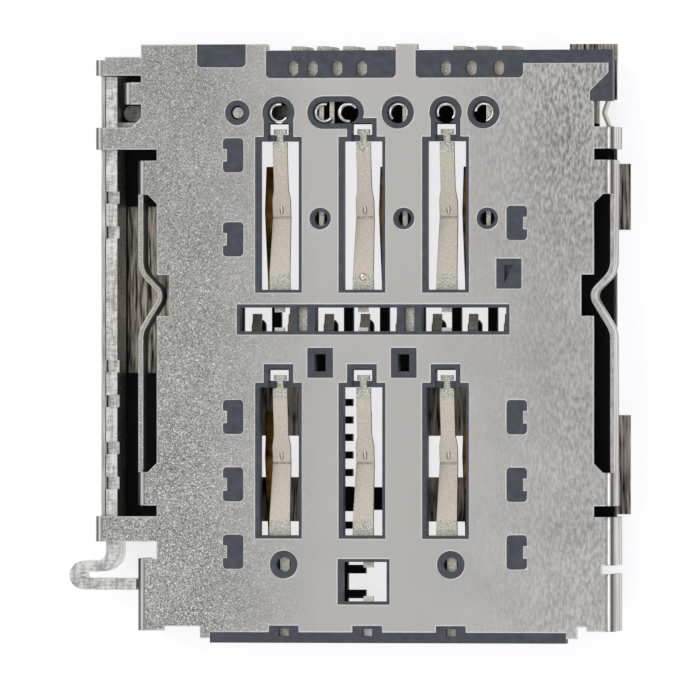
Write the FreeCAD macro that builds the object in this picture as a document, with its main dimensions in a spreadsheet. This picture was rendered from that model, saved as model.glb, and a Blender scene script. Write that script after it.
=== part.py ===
import FreeCAD, Part
import math
import os
import re

# Two-card tray socket for a telephone board, seen with its tray mouth towards -Y.
# Origin: middle of the footprint, on the board. +X to the right, +Y to the rear, +Z up.
# Every size is in millimetres. A size that follows another is written as a formula after it.

SIZES = {
    # Sheets, skins and the height of the stack, from the board up
    "base_lift": 0.08,
    "base_sheet": 0.12,
    "base_skin": 0.28,
    "tray_space": 1.54,
    "top_skin": 0.33,
    "top_sheet": 0.15,
    "bend": 0.22,
    "slab_half": 6.20,
    "cut_over": 0.10,
    # Outer reaches of the covers from the tray's centre line and from the middle
    "axis_x": 0.96,
    "shell_half": 7.25,
    "plate_inset": 0.61,
    "plate_half": "=shell_half - plate_inset",
    "shoulder_inset": 0.13,
    "shoulder_half": "=shell_half - shoulder_inset",
    "rod_lane": 1.29,
    "left_reach": "=shell_half + rod_lane",
    "corner_inset": 0.32,
    "corner_reach": "=left_reach - corner_inset",
    "shell_rear": 8.93,
    "shell_front": 8.60,
    "flange_over": 0.13,
    "flange_front": "=shell_front + flange_over",
    "nub_over": 0.35,
    "nub_front": "=shell_front + nub_over",
    "lip_over": 0.49,
    "lip_front": "=shell_front + lip_over",
    "tab_over": 0.03,
    "tab_rear": "=shell_rear + tab_over",
    "block_step": 0.19,
    "block_rear": "=shell_rear - block_step",
    "wall_drop": 1.95,
    "tongue_drop": 1.35,
    "rear_drop": 0.75,
    # Folded parts of the top cover along Y, low side and high side
    "tab_low": 8.00,
    "tab_high": 8.47,
    "corner_high": 8.56,
    "bridge_low": 5.77,
    "bridge_high": 6.43,
    "upper_tongue_low": 4.41,
    "upper_tongue_high": 5.43,
    "lower_tongue_low": -4.96,
    "lower_tongue_high": -3.96,
    "front_bridge_low": -6.05,
    "front_bridge_high": -5.29,
    "left_flange_high": -6.56,
    "latch_low": -7.00,
    "latch_high": -6.74,
    "latch_depth": 0.37,
    "corner_cut": 0.28,
    "hanger_low": 7.13,
    "hanger_high": 7.79,
    "hanger_inset": 0.86,
    "hanger_reach": "=left_reach - hanger_inset",
    "hanger_drop": 1.00,
    "hanger_cut": 0.30,
    "nub_left_in": 5.02,
    "nub_left_out": 5.32,
    "nub_right_in": 5.80,
    "nub_right_out": 6.13,
    # Detent springs cut from the side walls
    "detent_sheet": 0.15,
    "detent_tall": 0.95,
    "detent_top_gap": 0.14,
    "detent_peak_y": 1.40,
    "detent_reach": 0.68,
    "detent_rear": 0.70,
    "detent_front": 1.12,
    "detent_nose": 0.36,
    "relief_depth": 0.38,
    "relief_low": 0.75,
    "relief_high": 1.99,
    # Plastic blocks let into the rear of the cover
    "block_1_left": 5.41,
    "block_1_right": 3.93,
    "block_1_long": 0.69,
    "block_1_deep": "=shell_rear - block_1_long",
    "block_2_left": 3.31,
    "block_2_right": -0.64,
    "block_2_long": 1.02,
    "block_2_deep": "=shell_rear - block_2_long",
    "block_3_left": 1.24,
    "block_3_right": 4.50,
    "strip_inset": 0.04,
    "strip_right": "=shell_half - strip_inset",
    "strip_long": 0.59,
    "strip_deep": "=shell_rear - strip_long",
    "column_wide": 0.69,
    "column_neck": 0.125,
    "column_left": "=strip_right - column_wide",
    "column_deep": 7.20,
    "column_slant": 0.85,
    "block_round": 0.14,
    # Contact columns: nano card pitch, and the slots round the contacts
    "column_x": 0.57,
    "column_pitch": 2.54,
    "row_pitch": 7.40,
    "slot_half": 0.71,
    "slot_low": 1.45,
    "slot_high": 6.14,
    "head_half": 0.45,
    "head_deep": 0.56,
    "frame_left": 0.14,
    "frame_thin": 0.09,
    "prong_gap": 0.13,
    "prong_y": 6.10,
    "prong_half": 0.10,
    # Upper card contacts
    "contact_sheet": 0.12,
    "contact_lift": 0.10,
    "contact_root": 1.57,
    "contact_long": 4.80,
    "contact_flat": 0.45,
    "contact_crown": 2.15,
    "contact_rise": 4.10,
    "contact_dip": 0.44,
    "contact_tip_dip": 0.06,
    "root_half": 0.32,
    "pad_half": 0.22,
    "neck_half": 0.105,
    "waist_half": 0.275,
    "waist_end": 0.52,
    "waist_taper": 0.85,
    "groove_half": 0.03,
    "groove_deep": 0.05,
    "tee_half": 0.19,
    "lead_wide": 0.14,
    "row_jog_low": 0.02,
    "row_jog_high": 1.10,
    "front_shift": 0.16,
    "pad_high": 5.98,
    "neck_high": 6.22,
    "ring_side": "=column_pitch / 2",
    "lead_gap": 0.32,
    "lead_side": "=ring_side - lead_gap",
    "jog_y": 7.62,
    "root_tie": 1.26,
    "stub_half": 0.15,
    "stub_over": 0.29,
    "stub_front": "=shell_front + stub_over",
    "eye_1_x": -2.49,
    "eye_2_x": -1.90,
    "eye_3_x": -1.15,
    "eye_4_x": -0.40,
    "eye_5_x": 2.15,
    "eye_6_x": 2.93,
    "eye_7_x": 3.76,
    "eye_inset": 0.73,
    "eye_y": "=shell_rear - eye_inset",
    "eye_half": 0.165,
    "eye_tall": 0.225,
    "tail_1_x": -2.40,
    "tail_2_x": -1.62,
    "tail_3_x": -0.83,
    "tail_4_x": 0.22,
    "tail_5_x": 2.52,
    "tail_6_x": 3.21,
    "tail_7_x": 4.00,
    "tail_wide": 0.34,
    "turn_inset": 0.45,
    "tail_turn": "=shell_rear - turn_inset",
    "tail_inset": 0.06,
    "tail_reach": "=shell_rear - tail_inset",
    "tail_foot": 0.20,
    "stub_middle": -6.82,
    "stub_rest": -7.68,
    # Anchors of the moulding in the cover
    "anchor_x": 4.31,
    "anchor_half_x": 0.31,
    "anchor_half_y": 0.515,
    "anchor_notch": 0.12,
    "anchor_notch_half": 0.19,
    "anchor_round": 0.12,
    "anchor_low_y": -6.35,
    "anchor_pitch": 2.03,
    "anchor_left_y": 3.06,
    "anchor_left_top_y": 5.59,
    "anchor_right_y": 3.54,
    "key_x": 4.07,
    "key_y": 2.02,
    "key_half_x": 0.38,
    "key_half_y": 0.45,
    "key_hole": 0.26,
    "square_y": -0.66,
    "square_half_x": 0.39,
    "square_half_y": 0.45,
    "square_hole_x": 0.17,
    "square_hole_y": 0.26,
    # Rings of the moulding in the cover
    "ring_y": 6.87,
    "ring_small_y": 3.68,
    "ring_small": 0.325,
    "ring_small_hole": 0.225,
    "ring_pivot_x": -4.18,
    "ring_pivot": 0.375,
    "ring_pivot_hole": 0.21,
    "ring_wide": 0.49,
    "ring_wide_hole": 0.33,
    "ring_c_x": -0.82,
    "ring_c_span": 0.74,
    "ring_d_x": 0.70,
    "ring_f_x": 3.30,
    "ring_front_y": -6.73,
    "ring_front": 0.42,
    "ring_front_hole": 0.22,
    # Row window across the middle, with the lead bars in it
    "row_left": 4.20,
    "row_right": 4.09,
    "row_low": 0.19,
    "row_high": 1.10,
    "row_frame": 0.10,
    "bar_1_x": -2.20,
    "bar_2_x": 1.05,
    "bar_3_x": 4.24,
    "bar_half": 0.15,
    "bar_post": 0.23,
    "tie_low": -0.40,
    "tie_high": 0.40,
    "tie_stub": 0.86,
    # Front window and the front lip with its three housings
    "front_window_x": -0.34,
    "front_window_half": 0.79,
    "front_window_low": -7.93,
    "front_window_high": -6.56,
    "lip_left": 5.02,
    "lip_right": 5.80,
    "lip_step": 0.17,
    "lip_back": "=shell_front + lip_step",
    "housing_half": 0.45,
    "housing_inset": 0.03,
    "housing_back": "=shell_front - housing_inset",
    "housing_over": 0.45,
    "housing_out": "=shell_front + housing_over",
    # Base cover and base moulding
    "base_left_gap": 0.01,
    "base_inset": 0.20,
    "base_right": "=shell_half - base_inset",
    "base_rear_inset": 0.33,
    "base_rear": "=shell_rear - base_rear_inset",
    "base_front_inset": 0.10,
    "base_front": "=shell_front - base_front_inset",
    "base_wall_top": 2.20,
    "side_tab_upper_low": 3.35,
    "side_tab_upper_high": 5.34,
    "side_tab_lower_low": -5.23,
    "side_tab_lower_high": -2.24,
    "side_tab_over": 0.20,
    "side_tab_reach": "=shell_half + side_tab_over",
    "tab_lap": 0.20,
    "side_tab_in": "=base_right - tab_lap",
    "rear_tab_wide": 1.45,
    "rear_tab_left": "=rear_tab_right - rear_tab_wide",
    "rear_tab_right": "=base_right",
    "rail_wide": 0.70,
    "rail_in": "=rail_out - rail_wide",
    "rail_inset": 0.25,
    "rail_out": "=shell_half - rail_inset",
    "rear_wall_deep": 0.35,
    "rear_wall_front": "=base_rear - rear_wall_deep",
    "post_front": 7.27,
    "post_gap": 0.10,
    "switch_window": 6.52,
    "front_post_step": 0.38,
    "front_post_out": "=rail_out - front_post_step",
    "mouth_lap": 0.15,
    "mouth_in": "=rail_out - mouth_lap",
    "mouth_y": -5.69,
    "plate_clear": 0.10,
    "open_low": 1.52,
    "open_high": 6.55,
    "open_head": 0.30,
    "open_foot": 0.32,
    "open_mid_low": 3.38,
    "open_mid_high": 4.43,
    "open_left": 1.05,
    "open_right": 0.45,
    "open_rim": 0.10,
    "comb_low": 1.72,
    "comb_tooth": 0.22,
    "comb_pitch": 0.53,
    "comb_long": 0.46,
    "beam_low": 2.29,
    "beam_high": 2.98,
    "front_prong_out": -0.58,
    "front_prong_half": 0.13,
    "front_prong_1_y": -6.90,
    "front_prong_2_y": -7.65,
    "pocket_low": -0.97,
    "pocket_high": 4.07,
    "pocket_out": 7.90,
    "pocket_in": 6.45,
    # Base side contacts
    "card_pitch": 1.10,
    "card_half": 0.14,
    "card_open_low": -0.25,
    "card_open_high": 1.06,
    "card_open_side": 4.30,
    "card_depth": 0.14,
    "card_root": -0.62,
    "card_tip": 0.80,
    "card_rise": 0.45,
    "rib_half": 0.14,
    "tongue_half": 0.21,
    "tongue_end": 0.66,
    "second_shift": 0.47,
    "second_under": -0.14,
    "second_half": 0.17,
    "second_long": 3.95,
    "second_rise": 0.62,
    "second_root": 1.30,
    "second_flat": 0.40,
    "second_crown": 2.60,
    "second_fall": 0.30,
    "foot_clear": 0.14,
    # Eject rod, lever and pivot
    "rod_thick": 0.34,
    "rod_clear": 0.03,
    "wall_in": "=left_reach - top_sheet - base_left_gap - base_sheet",
    "rod_x": "=rod_clear + rod_thick / 2 - wall_in",
    "rod_low": 0.62,
    "rod_tall": 1.62,
    "rod_rear": 7.97,
    "rod_turn_y": -6.80,
    "hook_out": 1.12,
    "hook_x": "=rod_x - hook_out",
    "hook_pitch": 0.54,
    "hook_in": 0.75,
    "hook_end_x": "=rod_x + hook_in",
    "rod_bend": 0.45,
    "notch_length": 0.37,
    "notch_depth": 0.40,
    "notch_spacing": 1.05,
    "notch_1_y": 3.80,
    "notch_2_y": -1.29,
    "notch_3_y": -3.76,
    "finger_high": 6.60,
    "finger_wide": 0.22,
    "finger_reach": 0.44,
    "lever_low": 1.05,
    "lever_thick": 0.30,
    "finger_in": 0.46,
    "lever_arm": "=ring_pivot_x - rod_x - finger_in",
    "lever_push_arm": 1.30,
    "lever_end": 0.24,
    "lever_hub": 0.50,
    "pin_radius": 0.17,
    "pin_clear": 0.04,
    "pin_shoulder": 0.36,
    "pin_sink": 0.15,
    # Detect switch
    "leaf_gap": 0.02,
    "leaf_x": "=rail_out - leaf_gap",
    "leaf_rear": 7.70,
    "leaf_front": 6.45,
    "leaf_sheet": 0.08,
    "leaf_low": 1.15,
    "leaf_tall": 0.60,
    "leaf_bow": 0.16,
    "fixed_gap": 0.32,
    "fixed_x": "=leaf_x - fixed_gap",
    "fixed_wide": 0.10,
    "fixed_lead_y": 7.30,
}

LEVELS = {
    "board": [],
    "base_low": ["base_lift"],
    "base_top": ["base_lift", "base_sheet"],
    "floor": ["base_lift", "base_sheet", "base_skin"],
    "roof": ["base_lift", "base_sheet", "base_skin", "tray_space"],
    "plate_low": ["base_lift", "base_sheet", "base_skin", "tray_space", "top_skin"],
    "plate_top": ["base_lift", "base_sheet", "base_skin", "tray_space", "top_skin", "top_sheet"],
}

doc = FreeCAD.newDocument("CardSocket")
sizes = doc.addObject("Spreadsheet::Sheet", "sizes")
for row, (name, value) in enumerate(SIZES.items(), start=1):
    sizes.set("A%d" % row, name.replace("_", " "))
    sizes.set("B%d" % row, str(value))
    sizes.setAlias("B%d" % row, name)
doc.recompute()


def level(name):
    """Height of one face of the stack as an expression."""
    return "(" + (" + ".join(LEVELS[name]) or "0") + ")"


def height(name):
    """Height of one face of the stack in millimetres."""
    return sum(getattr(sizes, part) for part in LEVELS[name])


def bound(text):
    """Point each size named in an expression at its cell."""
    return re.sub(r"[a-z]\w*", lambda word: "sizes." + word.group(), text)


def plus(*terms):
    """Sum of sizes as an expression."""
    return " + ".join("(%s)" % term for term in terms)


def minus(first, second):
    """Difference of two sizes as an expression."""
    return "(%s) - (%s)" % (first, second)


def from_axis(offset):
    """Place across the socket, measured from the tray's centre line."""
    return plus("axis_x", offset)


def box(name, x_faces, y_faces, z_faces):
    """Block between two faces on each axis."""
    block = doc.addObject("Part::Box", name)
    faces = (x_faces, y_faces, z_faces)
    for side, axis, (low, high) in zip(("Length", "Width", "Height"), "xyz", faces):
        block.setExpression(side, bound(minus(high, low)))
        block.setExpression("Placement.Base." + axis, bound(low))
    return block


def block_at(name, x, half_x, y, half_y, z_faces):
    """Block about a middle point."""
    x_faces = (minus(x, half_x), plus(x, half_x))
    y_faces = (minus(y, half_y), plus(y, half_y))
    return box(name, x_faces, y_faces, z_faces)


def cylinder(name, x, y, radius, z_faces):
    """Upright cylinder."""
    drum = doc.addObject("Part::Cylinder", name)
    drum.setExpression("Radius", bound(radius))
    drum.setExpression("Height", bound(minus(z_faces[1], z_faces[0])))
    drum.setExpression("Placement.Base.x", bound(x))
    drum.setExpression("Placement.Base.y", bound(y))
    drum.setExpression("Placement.Base.z", bound(z_faces[0]))
    return drum


def fuse(name, parts):
    """Several solids made one."""
    whole = doc.addObject("Part::MultiFuse", name)
    whole.Shapes = parts
    whole.Refine = True
    return whole


def cut(name, base, tool):
    """One solid less another."""
    rest = doc.addObject("Part::Cut", name)
    rest.Base = base
    rest.Tool = tool
    rest.Refine = True
    return rest


def common(name, first, second):
    """What two solids share."""
    shared = doc.addObject("Part::MultiCommon", name)
    shared.Shapes = [first, second]
    return shared


def rounded(name, block, radius, front_only):
    """Block with its upright edges rounded, all four or only the two at the front."""
    doc.recompute()
    corners = []
    for index, edge in enumerate(block.Shape.Edges, start=1):
        ends = [vertex.Point for vertex in edge.Vertexes]
        upright = abs(ends[0].z - ends[1].z) > abs(ends[0].x - ends[1].x) + abs(ends[0].y - ends[1].y)
        at_front = abs(ends[0].y - block.Shape.BoundBox.YMin) < radius
        if upright and (at_front or not front_only):
            corners.append((index, radius, radius))
    soft = doc.addObject("Part::Fillet", name)
    soft.Base = block
    soft.Edges = corners
    return soft


def pad(name, plane, edges, start, length):
    """Sketched outline on an origin plane, made solid from start over length."""
    body = doc.addObject("PartDesign::Body", name)
    sketch = body.newObject("Sketcher::SketchObject", name + "_outline")
    origin_plane = [item for item in body.Origin.OriginFeatures if item.Role == plane][0]
    sketch.AttachmentSupport = (origin_plane, "")
    sketch.MapMode = "FlatFace"
    sketch.setExpression("AttachmentOffset.Base.z", bound(start))
    for edge in edges:
        sketch.addGeometry(edge, False)
    feature = body.newObject("PartDesign::Pad", name + "_pad")
    feature.Profile = sketch
    feature.setExpression("Length", bound(length))
    return body


def polygon(points):
    """Closed outline of straight edges."""
    corners = [FreeCAD.Vector(x, y, 0) for x, y in points]
    return [Part.LineSegment(a, b) for a, b in zip(corners, corners[1:] + corners[:1])]


def oval(x, y, half, tall):
    """Outline with straight sides along Y and round ends."""
    straight = tall - half
    ways = ((1, -1), (1, 1), (-1, 1), (-1, -1))
    corners = [FreeCAD.Vector(x + side * half, y + end * straight, 0) for side, end in ways]
    rear, front = FreeCAD.Vector(x, y + tall, 0), FreeCAD.Vector(x, y - tall, 0)
    edges = [Part.LineSegment(corners[0], corners[1]), Part.Arc(corners[1], rear, corners[2])]
    return edges + [Part.LineSegment(corners[2], corners[3]), Part.Arc(corners[3], front, corners[0])]


def tongue(x, low, high, half):
    """Outline of a strip along Y with a round far end."""
    left, right = x - half, x + half
    points = ((left, high - half), (left, low), (right, low), (right, high - half))
    corners = [FreeCAD.Vector(a, b, 0) for a, b in points]
    edges = [Part.LineSegment(a, b) for a, b in zip(corners, corners[1:])]
    return edges + [Part.Arc(corners[3], FreeCAD.Vector(x, high, 0), corners[0])]


def ribbon(points, radii, thickness):
    """Closed outline of a bent strip: both faces of a path, each bend a round one."""
    path = [FreeCAD.Vector(x, y, 0) for x, y in points]
    bends = [0.0] + list(radii) + [0.0]
    ways = [(b - a).normalize() for a, b in zip(path, path[1:])]
    sides = []
    for side in (thickness / 2, -thickness / 2):
        edges = []
        last = path[0] + FreeCAD.Vector(-ways[0].y, ways[0].x, 0) * side
        for index in range(1, len(path) - 1):
            way_in, way_out = ways[index - 1], ways[index]
            turn = math.atan2(way_in.x * way_out.y - way_in.y * way_out.x, way_in.dot(way_out))
            reach = bends[index] * math.tan(abs(turn) / 2)
            hand = math.copysign(1.0, turn)
            normal_in = FreeCAD.Vector(-way_in.y, way_in.x, 0)
            normal_out = FreeCAD.Vector(-way_out.y, way_out.x, 0)
            middle = path[index] - way_in * reach + normal_in * hand * bends[index]
            radius = bends[index] - hand * side
            begin = middle - normal_in * hand * radius
            finish = middle - normal_out * hand * radius
            halfway = middle - (normal_in + normal_out).normalize() * hand * radius
            if begin.distanceToPoint(last) > 1e-6:
                edges.append(Part.LineSegment(last, begin))
            edges.append(Part.Arc(begin, halfway, finish))
            last = finish
        end = path[-1] + FreeCAD.Vector(-ways[-1].y, ways[-1].x, 0) * side
        edges.append(Part.LineSegment(last, end))
        sides.append((path[0] + FreeCAD.Vector(-ways[0].y, ways[0].x, 0) * side, edges, end))
    (start_a, edges_a, end_a), (start_b, edges_b, end_b) = sides
    return edges_a + [Part.LineSegment(end_a, end_b)] + edges_b + [Part.LineSegment(start_b, start_a)]


COLUMNS = [plus("column_x", "%d * column_pitch" % step) for step in (-1, 0, 1)]
FRONT_WINDOW = from_axis("front_window_x")
ROWS = ["0", "row_pitch"]
EYES = 7
COMB_TEETH = 8
CARD_CONTACTS = 8
PLATE = (level("plate_low"), level("plate_top"))
TOP_STACK = (level("roof"), level("plate_top"))
THROUGH = (minus(level("roof"), "cut_over"), plus(level("plate_top"), "cut_over"))
CONTACT = (plus(level("roof"), "contact_lift"), plus(level("roof"), "contact_lift", "contact_sheet"))


def slot_places():
    """Middle of each long slot across, and how far its row lies to the front."""
    return [(column, row) for row in ROWS for column in COLUMNS]


def contact_slots(name, side, thin, z_faces):
    """Six long slots with their heads, drawn in by a frame on the sides."""
    parts = []
    for number, (column, row) in enumerate(slot_places(), start=1):
        x_faces = (plus(minus(column, "slot_half"), side), minus(plus(column, "slot_half"), thin))
        y_faces = (plus(minus("slot_low", row), thin), minus(minus("slot_high", row), side))
        parts.append(box("%s_%d" % (name, number), x_faces, y_faces, z_faces))
        head_x = (plus(minus(column, "head_half"), side), minus(plus(column, "head_half"), side))
        head_top = minus(plus(minus("slot_high", row), "head_deep"), side)
        head_y = (minus(minus("slot_high", row), "frame_left"), head_top)
        parts.append(box("%s_head_%d" % (name, number), head_x, head_y, z_faces))
    return parts


def anchor_windows(name, z_faces):
    """Windows in two side columns that lock the moulding to the cover, each with a side notch."""
    lower = ["anchor_low_y + %d * anchor_pitch" % step for step in range(3)]
    places = [("-1", y) for y in lower + ["anchor_left_y", "anchor_left_top_y"]]
    places += [("1", y) for y in lower + ["anchor_right_y"]]
    parts = []
    for number, (side, y) in enumerate(places, start=1):
        x = from_axis("%s * anchor_x" % side)
        outer = plus(x, "%s * (anchor_half_x - anchor_notch / 2)" % side)
        square = block_at("%s_%d" % (name, number), x, "anchor_half_x", y, "anchor_half_y", z_faces)
        window = rounded("%s_round_%d" % (name, number), square, sizes.anchor_round, False)
        notch_name = "%s_notch_%d" % (name, number)
        notch = block_at(notch_name, outer, "anchor_notch / 2", y, "anchor_notch_half", z_faces)
        parts.append(cut("%s_notched_%d" % (name, number), window, notch))
    return parts


def ring_places():
    """Middle, outer radius and bore of every ring."""
    places = [(from_axis("ring_pivot_x"), "ring_y", "ring_pivot", "ring_pivot_hole")]
    wide = [COLUMNS[0], COLUMNS[2]]
    wide += [from_axis(x) for x in ("ring_c_x", "ring_c_x - ring_c_span", "ring_d_x", "ring_f_x")]
    places += [(x, "ring_y", "ring_wide", "ring_wide_hole") for x in wide]
    places += [(plus(x, "ring_side"), "ring_small_y", "ring_small", "ring_small_hole") for x in COLUMNS]
    for x in (COLUMNS[0], COLUMNS[2]):
        places.append((plus(x, "front_shift"), "ring_front_y", "ring_front", "ring_front_hole"))
    return places


def rings(name, bore, z_faces):
    """Rings of plastic in the cover, or their bores."""
    parts = []
    for number, (x, y, outer, inner) in enumerate(ring_places(), start=1):
        parts.append(cylinder("%s_%d" % (name, number), x, y, inner if bore else outer, z_faces))
    x_faces = (from_axis("ring_c_x - ring_c_span"), from_axis("ring_c_x"))
    reach = "ring_wide_hole" if bore else "ring_wide"
    y_faces = (minus("ring_y", reach), plus("ring_y", reach))
    parts.append(box(name + "_link", x_faces, y_faces, z_faces))
    return parts


def rear_block(name, left, right, deep, rear, z_faces):
    """Plastic block let into the rear edge of the cover, with two rounded inner corners."""
    block = box(name + "_block", (from_axis(left), from_axis(right)), (deep, rear), z_faces)
    return rounded(name, block, sizes.block_round, True)


def rear_blocks(name, rear, first_rear, z_faces):
    """Three blocks, the strip beside the third and the corner column at the right."""
    parts = [rear_block(name + "_a", "-block_1_left", "-block_1_right", "block_1_deep", first_rear, z_faces)]
    parts.append(rear_block(name + "_b", "-block_2_left", "-block_2_right", "block_2_deep", rear, z_faces))
    parts.append(rear_block(name + "_c", "block_3_left", "block_3_right", "block_2_deep", rear, z_faces))
    strip_x = (from_axis("block_3_right - block_round"), from_axis("strip_right"))
    parts.append(box(name + "_strip", strip_x, ("strip_deep", rear), z_faces))
    left = sizes.axis_x + sizes.column_left
    right = sizes.axis_x + sizes.strip_right
    slant = sizes.strip_deep - sizes.column_slant
    inner = right - sizes.column_neck
    points = [(left, sizes.column_deep), (right, sizes.column_deep), (right, sizes.strip_deep)]
    points += [(inner, sizes.strip_deep), (inner, slant + inner - left), (left, slant)]
    parts.append(pad(name + "_column", "XY_Plane", polygon(points), z_faces[0], minus(z_faces[1], z_faces[0])))
    return parts


def middle_windows(name, z_faces):
    """Row window, front window, key window and the two square windows."""
    row_x = (from_axis("-row_left"), from_axis("row_right"))
    parts = [box(name + "_row", row_x, ("row_low", "row_high"), z_faces)]
    front_x = (minus(FRONT_WINDOW, "front_window_half"), plus(FRONT_WINDOW, "front_window_half"))
    parts.append(box(name + "_front", front_x, ("front_window_low", "front_window_high"), z_faces))
    key = (from_axis("key_x"), "key_half_x", "key_y", "key_half_y")
    parts.append(block_at(name + "_key", *key, z_faces))
    for number, column in enumerate(COLUMNS[:2], start=1):
        square = (plus(column, "ring_side"), "square_half_x", "square_y", "square_half_y")
        parts.append(block_at("%s_square_%d" % (name, number), *square, z_faces))
    for number, column in enumerate(COLUMNS, start=1):
        housing_x = (plus(column, "front_shift", "-housing_half"), plus(column, "front_shift", "housing_half"))
        housing_y = ("-housing_out", "-housing_back")
        parts.append(box("%s_housing_%d" % (name, number), housing_x, housing_y, z_faces))
    return parts


def middle_holes(name):
    """Openings through the moulding inside the middle windows."""
    row_y = ("row_low + row_frame", "row_high - row_frame")
    ends = ["-row_left + row_frame", "bar_1_x - bar_half - bar_post", "bar_1_x + bar_half + bar_post"]
    ends += ["bar_2_x - bar_half - bar_post", "bar_2_x + bar_half + bar_post", "row_right - row_frame"]
    parts = []
    for number in range(3):
        row_x = (from_axis(ends[2 * number]), from_axis(ends[2 * number + 1]))
        parts.append(box("%s_row_%d" % (name, number + 1), row_x, row_y, THROUGH))
    for number in (1, 2):
        place = (from_axis("bar_%d_x" % number), "bar_half", "(row_low + row_high) / 2")
        over = (CONTACT[1], THROUGH[1])
        half_y = "(row_high - row_low) / 2 - row_frame"
        parts.append(block_at("%s_bar_%d" % (name, number), *place, half_y, over))
    front_x = (plus(FRONT_WINDOW, "frame_left - front_window_half"),
               plus(FRONT_WINDOW, "front_window_half - frame_thin"))
    front_y = ("front_window_low + frame_thin", "front_window_high - frame_thin")
    parts.append(box(name + "_front", front_x, front_y, THROUGH))
    for number, column in enumerate(COLUMNS[:2], start=1):
        square = (plus(column, "ring_side"), "square_hole_x", "square_y", "square_hole_y")
        parts.append(block_at("%s_square_%d" % (name, number), *square, THROUGH))
    for number, column in enumerate(COLUMNS, start=1):
        x = plus(column, "front_shift")
        stub_y = ("-stub_front", "-housing_back - frame_thin")
        x_faces = (minus(x, "stub_half"), plus(x, "stub_half"))
        parts.append(box("%s_stub_%d" % (name, number), x_faces, stub_y, (CONTACT[1], THROUGH[1])))
    for number in range(1, EYES + 1):
        x = sizes.axis_x + getattr(sizes, "eye_%d_x" % number)
        outline = oval(x, sizes.eye_y, sizes.eye_half, sizes.eye_tall)
        eye_name = "%s_eye_%d" % (name, number)
        parts.append(pad(eye_name, "XY_Plane", outline, CONTACT[1], minus(THROUGH[1], CONTACT[1])))
    corner_x = sizes.axis_x + sizes.key_x - sizes.key_hole / 2
    low, high = sizes.key_y - sizes.key_hole, sizes.key_y + sizes.key_hole
    points = [(corner_x, low), (corner_x + sizes.key_hole, high), (corner_x, high)]
    depth = minus(THROUGH[1], level("plate_low"))
    parts.append(pad(name + "_key", "XY_Plane", polygon(points), level("plate_low"), depth))
    return parts


def side_flap(name, side, reach, y_faces, drop):
    """Part of the cover folded down at one side, side is -1 at the left and 1 at the right."""
    outer = sizes.axis_x + side * (reach - sizes.top_sheet / 2)
    inner = sizes.axis_x + side * (sizes.plate_half - sizes.bend)
    middle = height("plate_top") - sizes.top_sheet / 2
    path = [(inner, middle), (outer, middle), (outer, height("plate_top") - drop)]
    low, high = y_faces
    outline = ribbon(path, [sizes.bend], sizes.top_sheet)
    return pad(name, "XZ_Plane", outline, "-(%s)" % high, minus(high, low))


def rear_flap(name, left, right):
    """Part of the cover folded down at the rear."""
    outer = sizes.shell_rear - sizes.top_sheet / 2
    middle = height("plate_top") - sizes.top_sheet / 2
    inner = sizes.block_2_deep + sizes.block_round
    path = [(inner, middle), (outer, middle), (outer, height("plate_top") - sizes.rear_drop)]
    outline = ribbon(path, [sizes.bend], sizes.top_sheet)
    return pad(name, "YZ_Plane", outline, from_axis(left), minus(right, left))


def wedge(name, side, y, way):
    """Slanted corner between the plate edge and a tongue."""
    edge = sizes.axis_x + side * (sizes.plate_half - sizes.bend)
    out = sizes.axis_x + side * (sizes.plate_half + sizes.corner_cut)
    points = [(edge, y), (out, y), (edge, y + way * (sizes.corner_cut + sizes.bend))]
    return pad(name, "XY_Plane", polygon(points), level("plate_low"), "top_sheet")


def detent(name, side):
    """Leaf spring cut from a side wall, bowed in to catch the tray."""
    wall = sizes.axis_x + side * (sizes.shell_half - sizes.top_sheet / 2)
    nose = wall - side * sizes.detent_reach
    peak = sizes.detent_peak_y
    path = [(wall, sizes.lower_tongue_high - sizes.bend), (wall, peak - sizes.detent_front), (nose, peak)]
    path += [(wall, peak + sizes.detent_rear), (wall, sizes.upper_tongue_low + sizes.bend)]
    outline = ribbon(path, [sizes.detent_nose * 2, sizes.detent_nose, sizes.detent_nose * 2], sizes.detent_sheet)
    low = minus(level("plate_low"), "detent_top_gap + detent_tall")
    return pad(name, "XY_Plane", outline, low, "detent_tall")


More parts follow.
